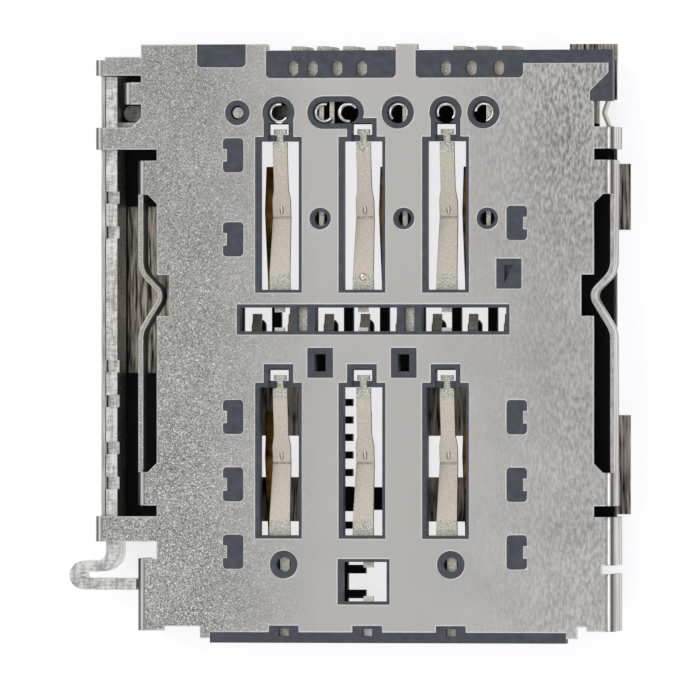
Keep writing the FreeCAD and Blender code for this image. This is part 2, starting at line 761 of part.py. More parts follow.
def shell_sides():
    """Everything folded or left standing along the two sides of the cover."""
    parts = [side_flap("left_tab", -1, sizes.left_reach, ("tab_low", "tab_high"), sizes.wall_drop)]
    parts.append(side_flap("left_bridge", -1, sizes.left_reach, ("bridge_low", "bridge_high"), sizes.wall_drop))
    front = ("front_bridge_low", "front_bridge_high")
    parts.append(side_flap("left_front_bridge", -1, sizes.left_reach, front, sizes.wall_drop))
    hanger = ("hanger_low", "hanger_high")
    parts.append(side_flap("left_hanger", -1, sizes.hanger_reach, hanger, sizes.hanger_drop))
    edge = sizes.axis_x - sizes.shoulder_half
    inner, low = edge + sizes.bend, sizes.bridge_high - sizes.bend
    points = [(inner, low), (edge - sizes.hanger_cut, low), (edge - sizes.hanger_cut, sizes.bridge_high)]
    points += [(edge, sizes.bridge_high + sizes.hanger_cut), (inner, sizes.bridge_high + sizes.hanger_cut)]
    parts.append(pad("left_corner", "XY_Plane", polygon(points), level("plate_low"), "top_sheet"))
    flange = ("-flange_front", "left_flange_high")
    parts.append(side_flap("left_flange", -1, sizes.shell_half, flange, sizes.wall_drop))
    right_folds = {
        "right_bridge": ("bridge_low", "bridge_high"),
        "right_flange_rear": ("latch_high", "front_bridge_high"),
        "right_flange_front": ("-flange_front", "latch_low"),
    }
    for name, y_faces in right_folds.items():
        parts.append(side_flap(name, 1, sizes.shell_half, y_faces, sizes.wall_drop))
    for side, word in ((-1, "left"), (1, "right")):
        upper = ("upper_tongue_low", "upper_tongue_high")
        lower = ("lower_tongue_low", "lower_tongue_high")
        parts.append(side_flap(word + "_upper_tongue", side, sizes.shell_half, upper, sizes.tongue_drop))
        parts.append(side_flap(word + "_lower_tongue", side, sizes.shell_half, lower, sizes.tongue_drop))
        parts.append(wedge(word + "_upper_wedge", side, sizes.upper_tongue_low, -1))
        parts.append(wedge(word + "_lower_wedge", side, sizes.lower_tongue_high, 1))
        parts.append(detent(word + "_detent", side))
    return parts


def top_shell():
    """Stamped stainless cover over the upper card."""
    plate_x = (from_axis("-plate_half"), from_axis("plate_half"))
    parts = [box("plate", plate_x, ("-shell_front", "shell_rear"), PLATE)]
    shoulder_x = (from_axis("-shoulder_half"), from_axis("-plate_half + bend"))
    parts.append(box("shoulder", shoulder_x, ("bridge_low", "shell_rear"), PLATE))
    corner_x = (from_axis("-corner_reach"), from_axis("-plate_half + bend"))
    parts.append(box("rear_corner", corner_x, ("tab_low", "corner_high"), PLATE))
    corner_x = (from_axis("plate_half - bend"), from_axis("strip_right"))
    parts.append(box("right_shoulder", corner_x, ("column_deep", "strip_deep"), PLATE))
    apron_x = (from_axis("-lip_left"), from_axis("lip_right"))
    parts.append(box("apron", apron_x, ("-lip_back", "-shell_front + bend"), PLATE))
    latch_x = (from_axis("plate_half - bend"), from_axis("shell_half - latch_depth"))
    parts.append(box("latch_floor", latch_x, ("latch_low", "latch_high"), PLATE))
    nub_left = (from_axis("-nub_left_out"), from_axis("-nub_left_in"))
    nub_right = (from_axis("nub_right_in"), from_axis("nub_right_out"))
    for name, faces in (("nub_left", nub_left), ("nub_right", nub_right)):
        parts.append(box(name, faces, ("-nub_front", "-shell_front + bend"), PLATE))
    parts.append(rear_flap("rear_flap_left", "-shoulder_half", "-block_1_left"))
    parts.append(rear_flap("rear_flap_middle", "-block_1_right", "-block_2_left"))
    parts.append(rear_flap("rear_flap_tongue", "-block_2_right", "block_3_left"))
    whole = fuse("shell_blank", parts + shell_sides())
    tools = contact_slots("slot", "0", "0", THROUGH) + anchor_windows("anchor", THROUGH)
    tools += rings("ring", False, THROUGH) + middle_windows("window", THROUGH)
    behind = plus("shell_rear", "cut_over")
    tools += rear_blocks("recess", behind, behind, THROUGH)
    relief_y = ("relief_low", "relief_high")
    for side, word in (("-", "left"), ("", "right")):
        deep, out = "%s(plate_half - relief_depth)" % side, "%s(plate_half + cut_over)" % side
        faces = [from_axis(deep), from_axis(out)]
        if side:
            faces.reverse()
        parts_z = (level("plate_low") + " - cut_over", THROUGH[1])
        tools.append(box("relief_" + word, tuple(faces), relief_y, parts_z))
    gap_x = (from_axis("column_left + block_round"), from_axis("shell_half + cut_over"))
    tools.append(box("switch_gap", gap_x, ("bridge_high", "column_deep"), THROUGH))
    return cut("top_shell", whole, fuse("shell_windows", tools))


def top_moulding(metal):
    """Plastic moulded through the cover's windows, with a skin under the plate."""
    slab_x = (from_axis("-slab_half"), from_axis("slab_half"))
    skin = (level("roof"), level("plate_low"))
    parts = [box("slab", slab_x, ("-shell_front", "block_rear"), skin)]
    parts += contact_slots("frame", "0", "0", TOP_STACK) + anchor_windows("plug", TOP_STACK)
    parts += rings("collar", False, TOP_STACK) + middle_windows("panel", TOP_STACK)
    parts += rear_blocks("rear", "block_rear", "shell_rear", TOP_STACK)
    lip_x = (from_axis("-lip_left"), from_axis("lip_right"))
    parts.append(box("lip", lip_x, ("-lip_front", "-lip_back"), TOP_STACK))
    parts.append(box("lip_root", lip_x, ("-lip_back", "-shell_front + bend"), skin))
    solid = fuse("moulding_blank", parts)
    holes = contact_slots("opening", "frame_left", "frame_thin", THROUGH)
    holes += rings("bore", True, THROUGH) + middle_holes("gap")
    pierced = cut("moulding_pierced", solid, fuse("moulding_holes", holes))
    prongs = []
    for number, (column, row) in enumerate(slot_places(), start=1):
        y_faces = (minus("prong_y - prong_half", row), minus("prong_y + prong_half", row))
        z_faces = (level("roof"), level("plate_low"))
        left_x = (minus(column, "slot_half"), minus(column, "prong_gap"))
        right_x = (plus(column, "prong_gap"), plus(column, "slot_half"))
        prongs.append(box("prong_left_%d" % number, left_x, y_faces, z_faces))
        prongs.append(box("prong_right_%d" % number, right_x, y_faces, z_faces))
    return cut("top_moulding", fuse("moulding_pronged", [pierced] + prongs), metal)


def column_at(step):
    """Middle of a contact column in millimetres, step is -1, 0 or 1."""
    return sizes.column_x + step * sizes.column_pitch


def spring_arm(name, step, row):
    """Bent and tapered spring arm of an upper contact, its tip towards the rear."""
    low = sizes.root_tie - row
    root = sizes.contact_root - row
    flat = height("roof") + sizes.contact_lift + sizes.contact_sheet / 2
    tip = flat - sizes.contact_tip_dip
    path = [(low, flat), (root + sizes.contact_flat, flat)]
    path.append((root + sizes.contact_crown, flat - sizes.contact_dip))
    path += [(root + sizes.contact_rise, tip), (root + sizes.contact_long, tip)]
    bends = [sizes.bend, sizes.bend, sizes.bend]
    half = "root_half + cut_over"
    column = COLUMNS[step + 1]
    profile = ribbon(path, bends, sizes.contact_sheet)
    side = pad(name + "_side", "YZ_Plane", profile, minus(column, half), plus(half, half))
    x = column_at(step)
    crown = root + sizes.contact_crown
    right = [(sizes.root_half, low), (sizes.root_half, root), (sizes.waist_half, crown)]
    right += [(sizes.waist_half, crown + sizes.waist_end), (sizes.pad_half, crown + sizes.waist_taper)]
    right += [(sizes.pad_half, sizes.pad_high - row), (sizes.neck_half, sizes.pad_high - row)]
    right += [(sizes.neck_half, sizes.neck_high - row), (sizes.tee_half, sizes.neck_high - row)]
    right.append((sizes.tee_half, root + sizes.contact_long))
    outline = [(x + wide, y) for wide, y in right] + [(x - wide, y) for wide, y in reversed(right)]
    tall = plus("contact_dip", "contact_dip")
    plan = pad(name + "_plan", "XY_Plane", polygon(outline), minus(level("roof"), "contact_dip"), tall)
    arm = common(name + "_arm", side, plan)
    dip = plus(level("roof"), "contact_lift + contact_sheet - contact_dip")
    y = "contact_root + contact_crown - %s" % ROWS[0 if row == 0.0 else 1]
    groove_z = (minus(dip, "groove_deep"), plus(dip, "bend"))
    groove = block_at(name + "_groove", column, half, y, "groove_half", groove_z)
    return cut(name + "_folded", arm, groove)


def lead_run(name, x, y_faces):
    """Straight stretch of lead along Y."""
    return box(name, (minus(x, "lead_wide / 2"), plus(x, "lead_wide / 2")), y_faces, CONTACT)


def lead_step(name, first_x, last_x, low):
    """Sidestep of a lead from one line to the next, the first line at the left."""
    x_faces = (minus(first_x, "lead_wide / 2"), plus(last_x, "lead_wide / 2"))
    return box(name, x_faces, (low, plus(low, "lead_wide")), CONTACT)


def solder_tail(name, number):
    """Wide end of a lead: under its eye, a sidestep, down behind the rear block and a short foot."""
    eye, x = from_axis("eye_%d_x" % number), from_axis("tail_%d_x" % number)
    x_faces = (minus(eye, "tail_wide / 2"), plus(eye, "tail_wide / 2"))
    under = box(name + "_under", x_faces, ("jog_y", "tail_turn + lead_wide"), CONTACT)
    step = lead_step(name + "_turn", eye, x, "tail_turn")
    x_faces = (minus(x, "tail_wide / 2"), plus(x, "tail_wide / 2"))
    run = box(name + "_run", x_faces, ("tail_turn", "tail_reach"), CONTACT)
    riser_y = ("tail_reach - contact_sheet", "tail_reach")
    riser = box(name + "_riser", x_faces, riser_y, (level("board"), CONTACT[1]))
    foot_y = ("tail_reach - tail_foot", "tail_reach")
    foot = box(name + "_foot", x_faces, foot_y, (level("board"), "contact_sheet"))
    return [under, step, run, riser, foot]


def upper_row_contact(number, step, tail):
    """Contact whose root is by the row window, with its lead to the left of its slot."""
    name = "sim_contact_%d" % number
    column = COLUMNS[step + 1]
    line = minus(column, "lead_side")
    stub_x = (minus(column, "stub_half"), plus(column, "stub_half"))
    parts = [spring_arm(name, step, 0.0), lead_step(name + "_root", line, column, "root_tie")]
    parts.append(box(name + "_stub", stub_x, ("tie_stub", "root_tie + bend"), CONTACT))
    parts.append(lead_run(name + "_lead", line, ("root_tie", "jog_y + lead_wide")))
    eye = from_axis("eye_%d_x" % tail)
    at_right = sizes.axis_x + getattr(sizes, "eye_%d_x" % tail) > column_at(step) - sizes.lead_side
    ends = (line, eye) if at_right else (eye, line)
    parts.append(lead_step(name + "_jog", ends[0], ends[1], "jog_y"))
    return fuse(name, parts + solder_tail(name, tail))


def lower_row_contact(number, step, tail, bar):
    """Contact whose lead runs back between the slots and through the row window."""
    name = "sim_contact_%d" % number
    column = COLUMNS[step + 1]
    line = plus(column, "lead_side")
    ring_line = plus(column, "ring_side")
    root = "root_tie - row_pitch"
    parts = [spring_arm(name, step, sizes.row_pitch), lead_step(name + "_root", column, line, root)]
    parts.append(lead_run(name + "_lead", line, (root, "row_jog_low + lead_wide")))
    bar_x = (minus(bar, "bar_half"), plus(bar, "bar_half"))
    parts.append(box(name + "_bar", bar_x, ("row_jog_low", "row_jog_high + lead_wide"), CONTACT))
    step_right = sizes.axis_x + getattr(sizes, "bar_%d_x" % (step + 2)) > column_at(step) + sizes.lead_side
    ends = (line, bar) if step_right else (bar, line)
    parts.append(lead_step(name + "_in", ends[0], ends[1], "row_jog_low"))
    step_back = sizes.axis_x + getattr(sizes, "bar_%d_x" % (step + 2)) > column_at(step) + sizes.ring_side
    ends = (ring_line, bar) if step_back else (bar, ring_line)
    parts.append(lead_step(name + "_out", ends[0], ends[1], "row_jog_high"))
    parts.append(lead_run(name + "_back", ring_line, ("row_jog_high", "jog_y + lead_wide")))
    eye = from_axis("eye_%d_x" % tail)
    at_right = sizes.axis_x + getattr(sizes, "eye_%d_x" % tail) > column_at(step) + sizes.ring_side
    ends = (ring_line, eye) if at_right else (eye, ring_line)
    parts.append(lead_step(name + "_jog", ends[0], ends[1], "jog_y"))
    stub_x = (plus(column, "front_shift", "-stub_half"), plus(column, "front_shift", "stub_half"))
    front = "stub_middle" if step == 0 else "-stub_front"
    parts.append(box(name + "_front", stub_x, (front, plus(root, "lead_wide")), CONTACT))
    return fuse(name, parts + solder_tail(name, tail))


def upper_card_contacts():
    """Six contacts of the upper card, three in each row."""
    contacts = [upper_row_contact(1, -1, 1), upper_row_contact(2, 0, 3), upper_row_contact(3, 1, 5)]
    contacts.append(lower_row_contact(4, -1, 2, from_axis("bar_1_x")))
    contacts.append(lower_row_contact(5, 0, 4, from_axis("bar_2_x")))
    contacts.append(lower_row_contact(6, 1, 6, from_axis("bar_3_x")))
    return contacts


def carrier_stubs():
    """Bits of the contacts' carrier strip that stay in the plastic where it was cut."""
    parts = []
    for number, column in enumerate(COLUMNS, start=1):
        x_faces = (minus(column, "stub_half"), plus(column, "stub_half"))
        parts.append(box("carrier_tie_%d" % number, x_faces, ("tie_low", "tie_high"), CONTACT))
    x = plus(COLUMNS[1], "front_shift")
    x_faces = (minus(x, "stub_half"), plus(x, "stub_half"))
    parts.append(box("carrier_front", x_faces, ("-stub_front", "stub_rest"), CONTACT))
    group = doc.addObject("Part::Compound", "carrier_stubs")
    group.Links = parts
    return group


def base_openings(name, rim, z_faces, in_sheet):
    """Windows of the base under the slots and the row window, some of them parted in the sheet."""
    first, middle, last = COLUMNS
    spans = [(column, "open_low", "open_high") for column in COLUMNS]
    parted = [first, last] if in_sheet else []
    for column in COLUMNS:
        if column not in parted:
            spans.append((column, "open_low - row_pitch", "open_high - row_pitch"))
    for column in parted:
        spans.append((column, "open_low - row_pitch", "open_low + open_foot - row_pitch"))
        spans.append((column, "open_mid_low - row_pitch", "open_mid_high - row_pitch"))
        spans.append((column, "open_high - open_head - row_pitch", "open_high - row_pitch"))
    parts = []
    for number, (column, low, high) in enumerate(spans, start=1):
        x_faces = (minus(column, plus("open_left", rim)), plus(column, "open_right", rim))
        parts.append(box("%s_%d" % (name, number), x_faces, (minus(low, rim), plus(high, rim)), z_faces))
    row_x = (from_axis("-card_open_side - " + rim), from_axis("card_open_side + " + rim))
    row_y = (minus("card_open_low", rim), plus("card_open_high", rim))
    parts.append(box(name + "_row", row_x, row_y, z_faces))
    side_x = (from_axis("switch_window"), from_axis("shell_half"))
    parts.append(box(name + "_switch", side_x, ("bridge_high", "post_front"), z_faces))
    latch_y = ("latch_low - post_gap", "latch_high + post_gap")
    parts.append(box(name + "_latch", side_x, latch_y, z_faces))
    window = (minus(FRONT_WINDOW, "front_window_half"), plus(FRONT_WINDOW, "front_window_half"))
    parts.append(box(name + "_front", window, ("front_window_low", "front_window_high"), z_faces))
    return parts


def second_line(column, row):
    """Middle of a base side contact: left of the arm above, right of it, or under it in front."""
    first, middle, last = COLUMNS
    shifts = {first: "-second_shift", middle: "second_shift", last: "second_shift"}
    under = column == middle and row != "0"
    return plus(column, "second_under" if under else shifts[column])


def foot_plugs(name, z_faces):
    """Plastic round each solder foot where it passes the base cover."""
    bar_x = (from_axis("-card_open_side"), from_axis("card_open_side"))
    bar_y = ("card_root - contact_sheet - foot_clear", "card_open_low")
    parts = [box(name + "_bar", bar_x, bar_y, z_faces)]
    for number, (column, row) in enumerate(slot_places(), start=1):
        place = (second_line(column, row), "second_half + foot_clear")
        y = minus("second_root - contact_sheet / 2", row)
        parts.append(block_at("%s_%d" % (name, number), *place, y, "contact_sheet / 2 + foot_clear", z_faces))
    return parts


BASE_LEFT = from_axis("-left_reach + top_sheet + base_left_gap")
WALL_INNER = plus(BASE_LEFT, "base_sheet")
BASE_PLATE = (level("base_low"), level("base_top"))
BASE_THROUGH = (minus(level("base_low"), "base_lift"), plus(level("floor"), "cut_over"))


def base_shell():
    """Stamped cover on the board side, with its left wall and solder tabs."""
    plate = box("base_plate", (BASE_LEFT, from_axis("base_right")), ("-base_front", "base_rear"), BASE_PLATE)
    wall_z = (level("base_low"), "base_wall_top")
    parts = [plate, box("base_wall", (BASE_LEFT, WALL_INNER), ("mouth_y", "tab_high"), wall_z)]
    tab_z = (level("board"), "base_sheet")
    tab_x = (from_axis("side_tab_in"), from_axis("side_tab_reach"))
    for word in ("upper", "lower"):
        y_faces = ("side_tab_%s_low" % word, "side_tab_%s_high" % word)
        parts.append(box("side_tab_" + word, tab_x, y_faces, tab_z))
    rear_x = (from_axis("rear_tab_left"), from_axis("rear_tab_right"))
    parts.append(box("rear_tab", rear_x, ("base_rear - frame_left", "tab_rear"), tab_z))
    tools = base_openings("base_window", "open_rim", BASE_THROUGH, True) + foot_plugs("base_hole", BASE_THROUGH)
    mouth_x = (minus(BASE_LEFT, "cut_over"), from_axis("-mouth_in"))
    tools.append(box("rod_mouth", mouth_x, ("-base_front - cut_over", "mouth_y"), BASE_THROUGH))
    return cut("base_shell", fuse("base_blank", parts), fuse("base_windows", tools))


def base_moulding(metal):
    """Plastic floor of the tray space with its posts, ribs and comb."""
    floor_z = (level("base_top"), level("floor"))
    post_z = (level("base_top"), level("roof"))
    slab_x = (WALL_INNER, from_axis("rail_out"))
    slab = box("base_slab", slab_x, ("-base_front + plate_clear", "base_rear - plate_clear"), floor_z)
    mouth_x = (minus(BASE_LEFT, "cut_over"), from_axis("-mouth_in"))
    mouth = box("slab_mouth", mouth_x, ("-base_front", "mouth_y"), BASE_THROUGH)
    pocket_x = (from_axis("-pocket_out"), from_axis("-pocket_in"))
    pocket = box("floor_pocket", pocket_x, ("pocket_low", "pocket_high"), BASE_THROUGH)
    openings = base_openings("floor_window", "0", BASE_THROUGH, False)
    windows = fuse("floor_windows", openings + [mouth, pocket])
    parts = [cut("floor_pierced", slab, windows)]
    left_x = (from_axis("-rail_out"), from_axis("-rail_in"))
    right_x = (from_axis("rail_in"), from_axis("rail_out"))
    front_x = (from_axis("-front_post_out"), from_axis("-rail_in"))
    posts = {
        "post_left_rear": (left_x, ("bridge_low", "bridge_high - post_gap")),
        "post_left_front": (front_x, ("-base_front + plate_clear", "front_bridge_high")),
        "post_right_front": (right_x, ("latch_high + post_gap", "front_bridge_high")),
        "post_right_end": (right_x, ("-base_front + plate_clear", "latch_low - post_gap")),
        "post_right_bridge": (right_x, ("bridge_low", "bridge_high - post_gap")),
        "post_right_rear": (right_x, ("post_front", "base_rear - plate_clear")),
    }
    for name, (x_faces, y_faces) in posts.items():
        parts.append(box(name, x_faces, y_faces, post_z))
    wall_x = (from_axis("-block_1_left + block_round"), from_axis("rail_out"))
    parts.append(box("rear_wall", wall_x, ("rear_wall_front", "base_rear - plate_clear"), post_z))
    for number in range(CARD_CONTACTS - 1):
        rib = (from_axis("%d * card_pitch" % (number + 1 - CARD_CONTACTS // 2)), "rib_half")
        y, half_y = "(card_open_low + card_open_high) / 2", "(card_open_high - card_open_low) / 2 + plate_clear"
        parts.append(block_at("floor_rib_%d" % (number + 1), *rib, y, half_y, floor_z))
    for number in range(1, CARD_CONTACTS + 1):
        x = sizes.axis_x + (number - (CARD_CONTACTS + 1) / 2) * sizes.card_pitch
        low = sizes.card_open_low - sizes.plate_clear
        outline = tongue(x, low, sizes.tongue_end, sizes.tongue_half)
        parts.append(pad("floor_tongue_%d" % number, "XY_Plane", outline, floor_z[0], "base_skin"))
    comb_x = (minus(COLUMNS[1], "open_left + plate_clear"), plus(COLUMNS[1], "-open_left", "comb_long"))
    for number in range(COMB_TEETH):
        low = "comb_low - row_pitch + %d * comb_pitch" % number
        parts.append(box("comb_%d" % (number + 1), comb_x, (low, plus(low, "comb_tooth")), floor_z))
    beam_y = ("beam_low - row_pitch", "beam_high - row_pitch")
    beam_x = (minus(COLUMNS[1], "open_left + plate_clear"), plus(COLUMNS[1], "open_right + plate_clear"))
    parts.append(box("comb_beam", beam_x, beam_y, floor_z))
    prong_x = (minus(FRONT_WINDOW, "front_window_half + plate_clear"), from_axis("front_prong_out"))
    for number in (1, 2):
        y = "front_prong_%d_y" % number
        y_faces = (minus(y, "front_prong_half"), plus(y, "front_prong_half"))
        parts.append(box("floor_prong_%d" % number, prong_x, y_faces, floor_z))
    parts += foot_plugs("plug_foot", (level("base_low"), level("floor")))
    return cut("base_moulding", fuse("base_cast", parts), metal)


def base_contact(name, x, half, path, bends, root):
    """Spring contact that rises from the base, with a foot down to the board."""
    profile = ribbon(path, bends, sizes.contact_sheet)
    arm = pad(name + "_arm", "YZ_Plane", profile, minus(x, half), plus(half, half))
    x_faces = (minus(x, half), plus(x, half))
    foot_z = (level("board"), plus(level("base_top"), "card_depth", "contact_sheet / 2"))
    foot = box(name + "_foot", x_faces, (minus(root, "contact_sheet"), plus(root, "contact_sheet / 2")), foot_z)
    return fuse(name, [arm, foot])


def card_contacts():
    """Eight contacts of the memory card, their tips in the row window."""
    flat = height("base_top") + sizes.card_depth
    crown = flat + sizes.card_rise
    root, tip = sizes.card_root, sizes.card_tip
    path = [(root, flat), (sizes.card_open_low, flat)]
    path += [(tip - sizes.card_rise, crown), (tip, crown - sizes.card_depth)]
    contacts = []
    for number in range(1, CARD_CONTACTS + 1):
        x = from_axis("%.1f * card_pitch" % (number - (CARD_CONTACTS + 1) / 2))
        bends = [sizes.contact_sheet, sizes.contact_sheet]
        contacts.append(base_contact("card_contact_%d" % number, x, "card_half", path, bends, "card_root"))
    return contacts


def second_sim_contacts():
    """Six contacts of the second sim card, beside the slots of the first."""
    flat = height("base_top") + sizes.card_depth
    crown = flat + sizes.second_rise
    contacts = []
    for number, (column, row) in enumerate(slot_places(), start=1):
        root = sizes.second_root - (sizes.row_pitch if row != "0" else 0.0)
        path = [(root, flat), (root + sizes.second_flat, flat), (root + sizes.second_crown, crown)]
        path.append((root + sizes.second_long, crown - sizes.second_fall))
        x = second_line(column, row)
        name = "second_sim_contact_%d" % number
        bends = [sizes.bend, sizes.bend]
        contacts.append(base_contact(name, x, "second_half", path, bends, minus("second_root", row)))
    return contacts


def eject_rod():
    """Strip on edge along the left side, bent to a hook at the front."""
    x, hook = sizes.axis_x + sizes.rod_x, sizes.axis_x + sizes.hook_x
    turn = sizes.rod_turn_y
    path = [(x, sizes.rod_rear), (x, turn), (hook, turn), (hook, turn - sizes.hook_pitch)]
    path.append((sizes.axis_x + sizes.hook_end_x, turn - sizes.hook_pitch))
    bends = [sizes.rod_bend, sizes.hook_pitch / 2, sizes.hook_pitch / 2]
    strip = pad("rod_strip", "XY_Plane", ribbon(path, bends, sizes.rod_thick), "rod_low", "rod_tall")
    finger_x = (from_axis("rod_x"), from_axis("rod_x + rod_thick / 2 + finger_reach"))
    finger_z = ("lever_low", "lever_low + lever_thick")
    finger = box("rod_finger", finger_x, ("finger_high - finger_wide", "finger_high"), finger_z)
    tools = []
    notch_z = ("rod_low + rod_tall - notch_depth", "rod_low + rod_tall + cut_over")
    for pair in (1, 2, 3):
        for side in (-1, 1):
            y = "notch_%d_y + %d * notch_spacing / 2" % (pair, side)
            name = "rod_notch_%d_%s" % (pair, "rear" if side > 0 else "front")
            place = (from_axis("rod_x"), "rod_thick", y, "notch_length / 2")
            tools.append(block_at(name, *place, notch_z))
    return cut("eject_rod", fuse("rod_blank", [strip, finger]), fuse("rod_notches", tools))


def eject_lever():
    """Flat lever on its pivot, one end behind the rod's finger, the other behind the tray."""
    pivot = from_axis("ring_pivot_x")
    faces = ("lever_low", "lever_low + lever_thick")
    left, right = minus(pivot, "lever_arm"), plus(pivot, "lever_push_arm")
    y_faces = ("ring_y - lever_end", "ring_y + lever_end")
    parts = [box("lever_bar", (left, right), y_faces, faces)]
    parts.append(cylinder("lever_hub_disc", pivot, "ring_y", "lever_hub", faces))
    for name, x in (("lever_rod_end", left), ("lever_tray_end", right)):
        parts.append(cylinder(name, x, "ring_y", "lever_end", faces))
    bore_z = (minus(faces[0], "cut_over"), plus(faces[1], "cut_over"))
    bore = cylinder("lever_bore", pivot, "ring_y", "pin_radius + pin_clear", bore_z)
    return cut("eject_lever", fuse("lever_blank", parts), bore)


def lever_pivot_pin():
    """Pin from the base to the pivot ring, with a shoulder under the lever."""
    pivot = from_axis("ring_pivot_x")
    pin_z = (level("base_top"), minus(level("plate_top"), "pin_sink"))
    shoulder_z = (level("base_top"), "lever_low - pin_clear")
    pin = cylinder("pin_shank", pivot, "ring_y", "pin_radius", pin_z)
    return fuse("lever_pivot_pin", [pin, cylinder("pin_foot", pivot, "ring_y", "pin_shoulder", shoulder_z)])


def detect_switch():
    """Thin leaf beside the tray and the fixed contact that it meets."""
    x = sizes.axis_x + sizes.leaf_x
    middle = (sizes.leaf_rear + sizes.leaf_front) / 2
    path = [(x, sizes.leaf_rear), (x, middle + sizes.bend), (x - sizes.leaf_bow, middle - sizes.bend)]
    path.append((x, sizes.leaf_front))
    bends = [sizes.bend, sizes.bend]
    leaf = pad("detect_leaf", "XY_Plane", ribbon(path, bends, sizes.leaf_sheet), "leaf_low", "leaf_tall")
    fixed_x = (from_axis("fixed_x - fixed_wide"), from_axis("fixed_x"))
    fixed_y = ("bridge_high + cut_over", "post_front + bend")
    parts = [box("fixed_blade", fixed_x, fixed_y, ("leaf_low", "leaf_low + leaf_tall"))]
    lead_y = ("fixed_lead_y", plus("fixed_lead_y", "lead_wide"))
    parts.append(box("fixed_riser", fixed_x, lead_y, ("leaf_low", CONTACT[1])))
    eye = from_axis("eye_%d_x" % EYES)
    parts.append(box("fixed_lead", (minus(eye, "lead_wide / 2"), from_axis("fixed_x")), lead_y, CONTACT))
    parts.append(lead_run("fixed_run", eye, ("fixed_lead_y", "jog_y + lead_wide")))
    return [leaf, fuse("detect_contact", parts + solder_tail("fixed", EYES))]


sim_contacts = upper_card_contacts()
stubs = carrier_stubs()
pin = lever_pivot_pin()
switch = detect_switch()
low_contacts = card_contacts() + second_sim_contacts()
room_z = (level("base_top"), level("floor"))
pin_room = cylinder("pin_room", from_axis("ring_pivot_x"), "ring_y", "pin_shoulder", room_z)
top_metal = fuse("top_metal", sim_contacts + [stubs] + switch[1:])
base_metal = fuse("base_metal", low_contacts + switch + [pin_room])
pieces = [top_shell(), top_moulding(top_metal), base_shell(), base_moulding(base_metal)]
pieces += sim_contacts + [stubs] + low_contacts + [eject_rod(), eject_lever(), pin] + switch
doc.recompute()

for item in doc.Objects:
    if "Invalid" in item.State or "Error" in item.State:
        raise RuntimeError("%s did not build: %s" % (item.Label, item.State))
os.makedirs("parts", exist_ok=True)
for piece in pieces:
    shape = piece.Shape
    if shape.isNull() or not shape.isValid():
        raise RuntimeError("%s has no sound shape" % piece.Label)
    shape.exportStep("parts/%s.step" % piece.Label)
    print(piece.Label, len(shape.Solids), round(shape.Volume, 4))
box_all = Part.makeCompound([piece.Shape for piece in pieces]).BoundBox
print("x %.3f %.3f  y %.3f %.3f  z %.3f %.3f" % (
    box_all.XMin, box_all.XMax, box_all.YMin, box_all.YMax, box_all.ZMin, box_all.ZMax))
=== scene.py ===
# %% [markdown]
# # A two-card tray socket, seen from above
# The object is a flat socket, 17 by 18 by 2.5 mm, that holds a card tray over a circuit board.
# Its pieces could all be modelled here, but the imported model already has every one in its
# place. So this file gives the pieces their finishes, adds the small raised details that
# repeat, and sets up the floor, the light and the camera.

# %% Load the frame
import bpy
import math
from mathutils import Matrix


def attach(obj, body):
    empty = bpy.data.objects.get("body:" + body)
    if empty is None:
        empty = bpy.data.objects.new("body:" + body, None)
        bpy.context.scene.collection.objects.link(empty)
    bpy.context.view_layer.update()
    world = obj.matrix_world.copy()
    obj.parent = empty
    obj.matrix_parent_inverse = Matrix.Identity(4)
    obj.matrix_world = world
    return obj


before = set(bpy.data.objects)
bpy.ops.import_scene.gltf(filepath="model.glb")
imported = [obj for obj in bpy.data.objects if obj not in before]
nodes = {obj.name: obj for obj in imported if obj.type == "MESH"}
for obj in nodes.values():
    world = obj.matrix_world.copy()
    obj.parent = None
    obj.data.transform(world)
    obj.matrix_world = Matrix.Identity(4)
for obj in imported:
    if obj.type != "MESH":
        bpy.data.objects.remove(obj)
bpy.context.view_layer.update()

MM = 0.001
print("nodes:", len(nodes))

# %% [markdown]
# ## Where the camera stands
# The photograph looks straight down with a long lens, from a little to the right: the deeper a
# face lies, the further it slides to the right. A near camera beside the object would do that
# too, but it would make the far side smaller. A camera tilted by a few degrees and far away
# gives the slide alone, so that way was chosen.

# %% Camera
IMAGE_SIDE = 700
PIXELS_PER_MM = 33.25
MIDDLE_X, MIDDLE_Y, TOP_Z = 0.21 * MM, -0.275 * MM, 2.5 * MM
TILT = math.radians(8.5)
DISTANCE = 400 * MM
SENSOR = 36.0
NEAREST = 0.01

frame_width = IMAGE_SIDE / PIXELS_PER_MM * MM
camera_data = bpy.data.cameras.new("camera")
camera_data.sensor_width = SENSOR
camera_data.lens = SENSOR * DISTANCE / frame_width
camera_data.clip_start = NEAREST
camera = bpy.data.objects.new("camera", camera_data)
bpy.context.scene.collection.objects.link(camera)
camera.location = (MIDDLE_X + DISTANCE * math.sin(TILT), MIDDLE_Y, TOP_Z + DISTANCE * math.cos(TILT))
camera.rotation_euler = (0.0, TILT, 0.0)
bpy.context.scene.camera = camera
print("lens in mm:", round(camera_data.lens, 1))

# %% [markdown]
# ## Colours
# Colours are read off a screen, so they are written in hex as a screen shows them. A shader
# works in linear light. Each colour could be turned by hand, but one function does it for all,
# so the codes stay easy to compare with the photograph.

# %% Screen colour to linear light
def linear(code):
    """Linear colour with alpha from an sRGB hex code, by the curve of the sRGB standard."""
    parts = [int(code[index:index + 2], 16) / 255 for index in (0, 2, 4)]
    return [part / 12.92 if part <= 0.04045 else ((part + 0.055) / 1.055) ** 2.4 for part in parts] + [1.0]


print("mid grey in linear light:", round(linear("808080")[0], 3))

# %% [markdown]
# ## Nodes from a script
# A finish is a tree of nodes. It could be drawn in the editor, but a script keeps it readable
# and repeatable. Two functions are enough: one feeds values, nodes or outputs into the inputs
# of a node, and the other makes a node with its settings and then feeds it.

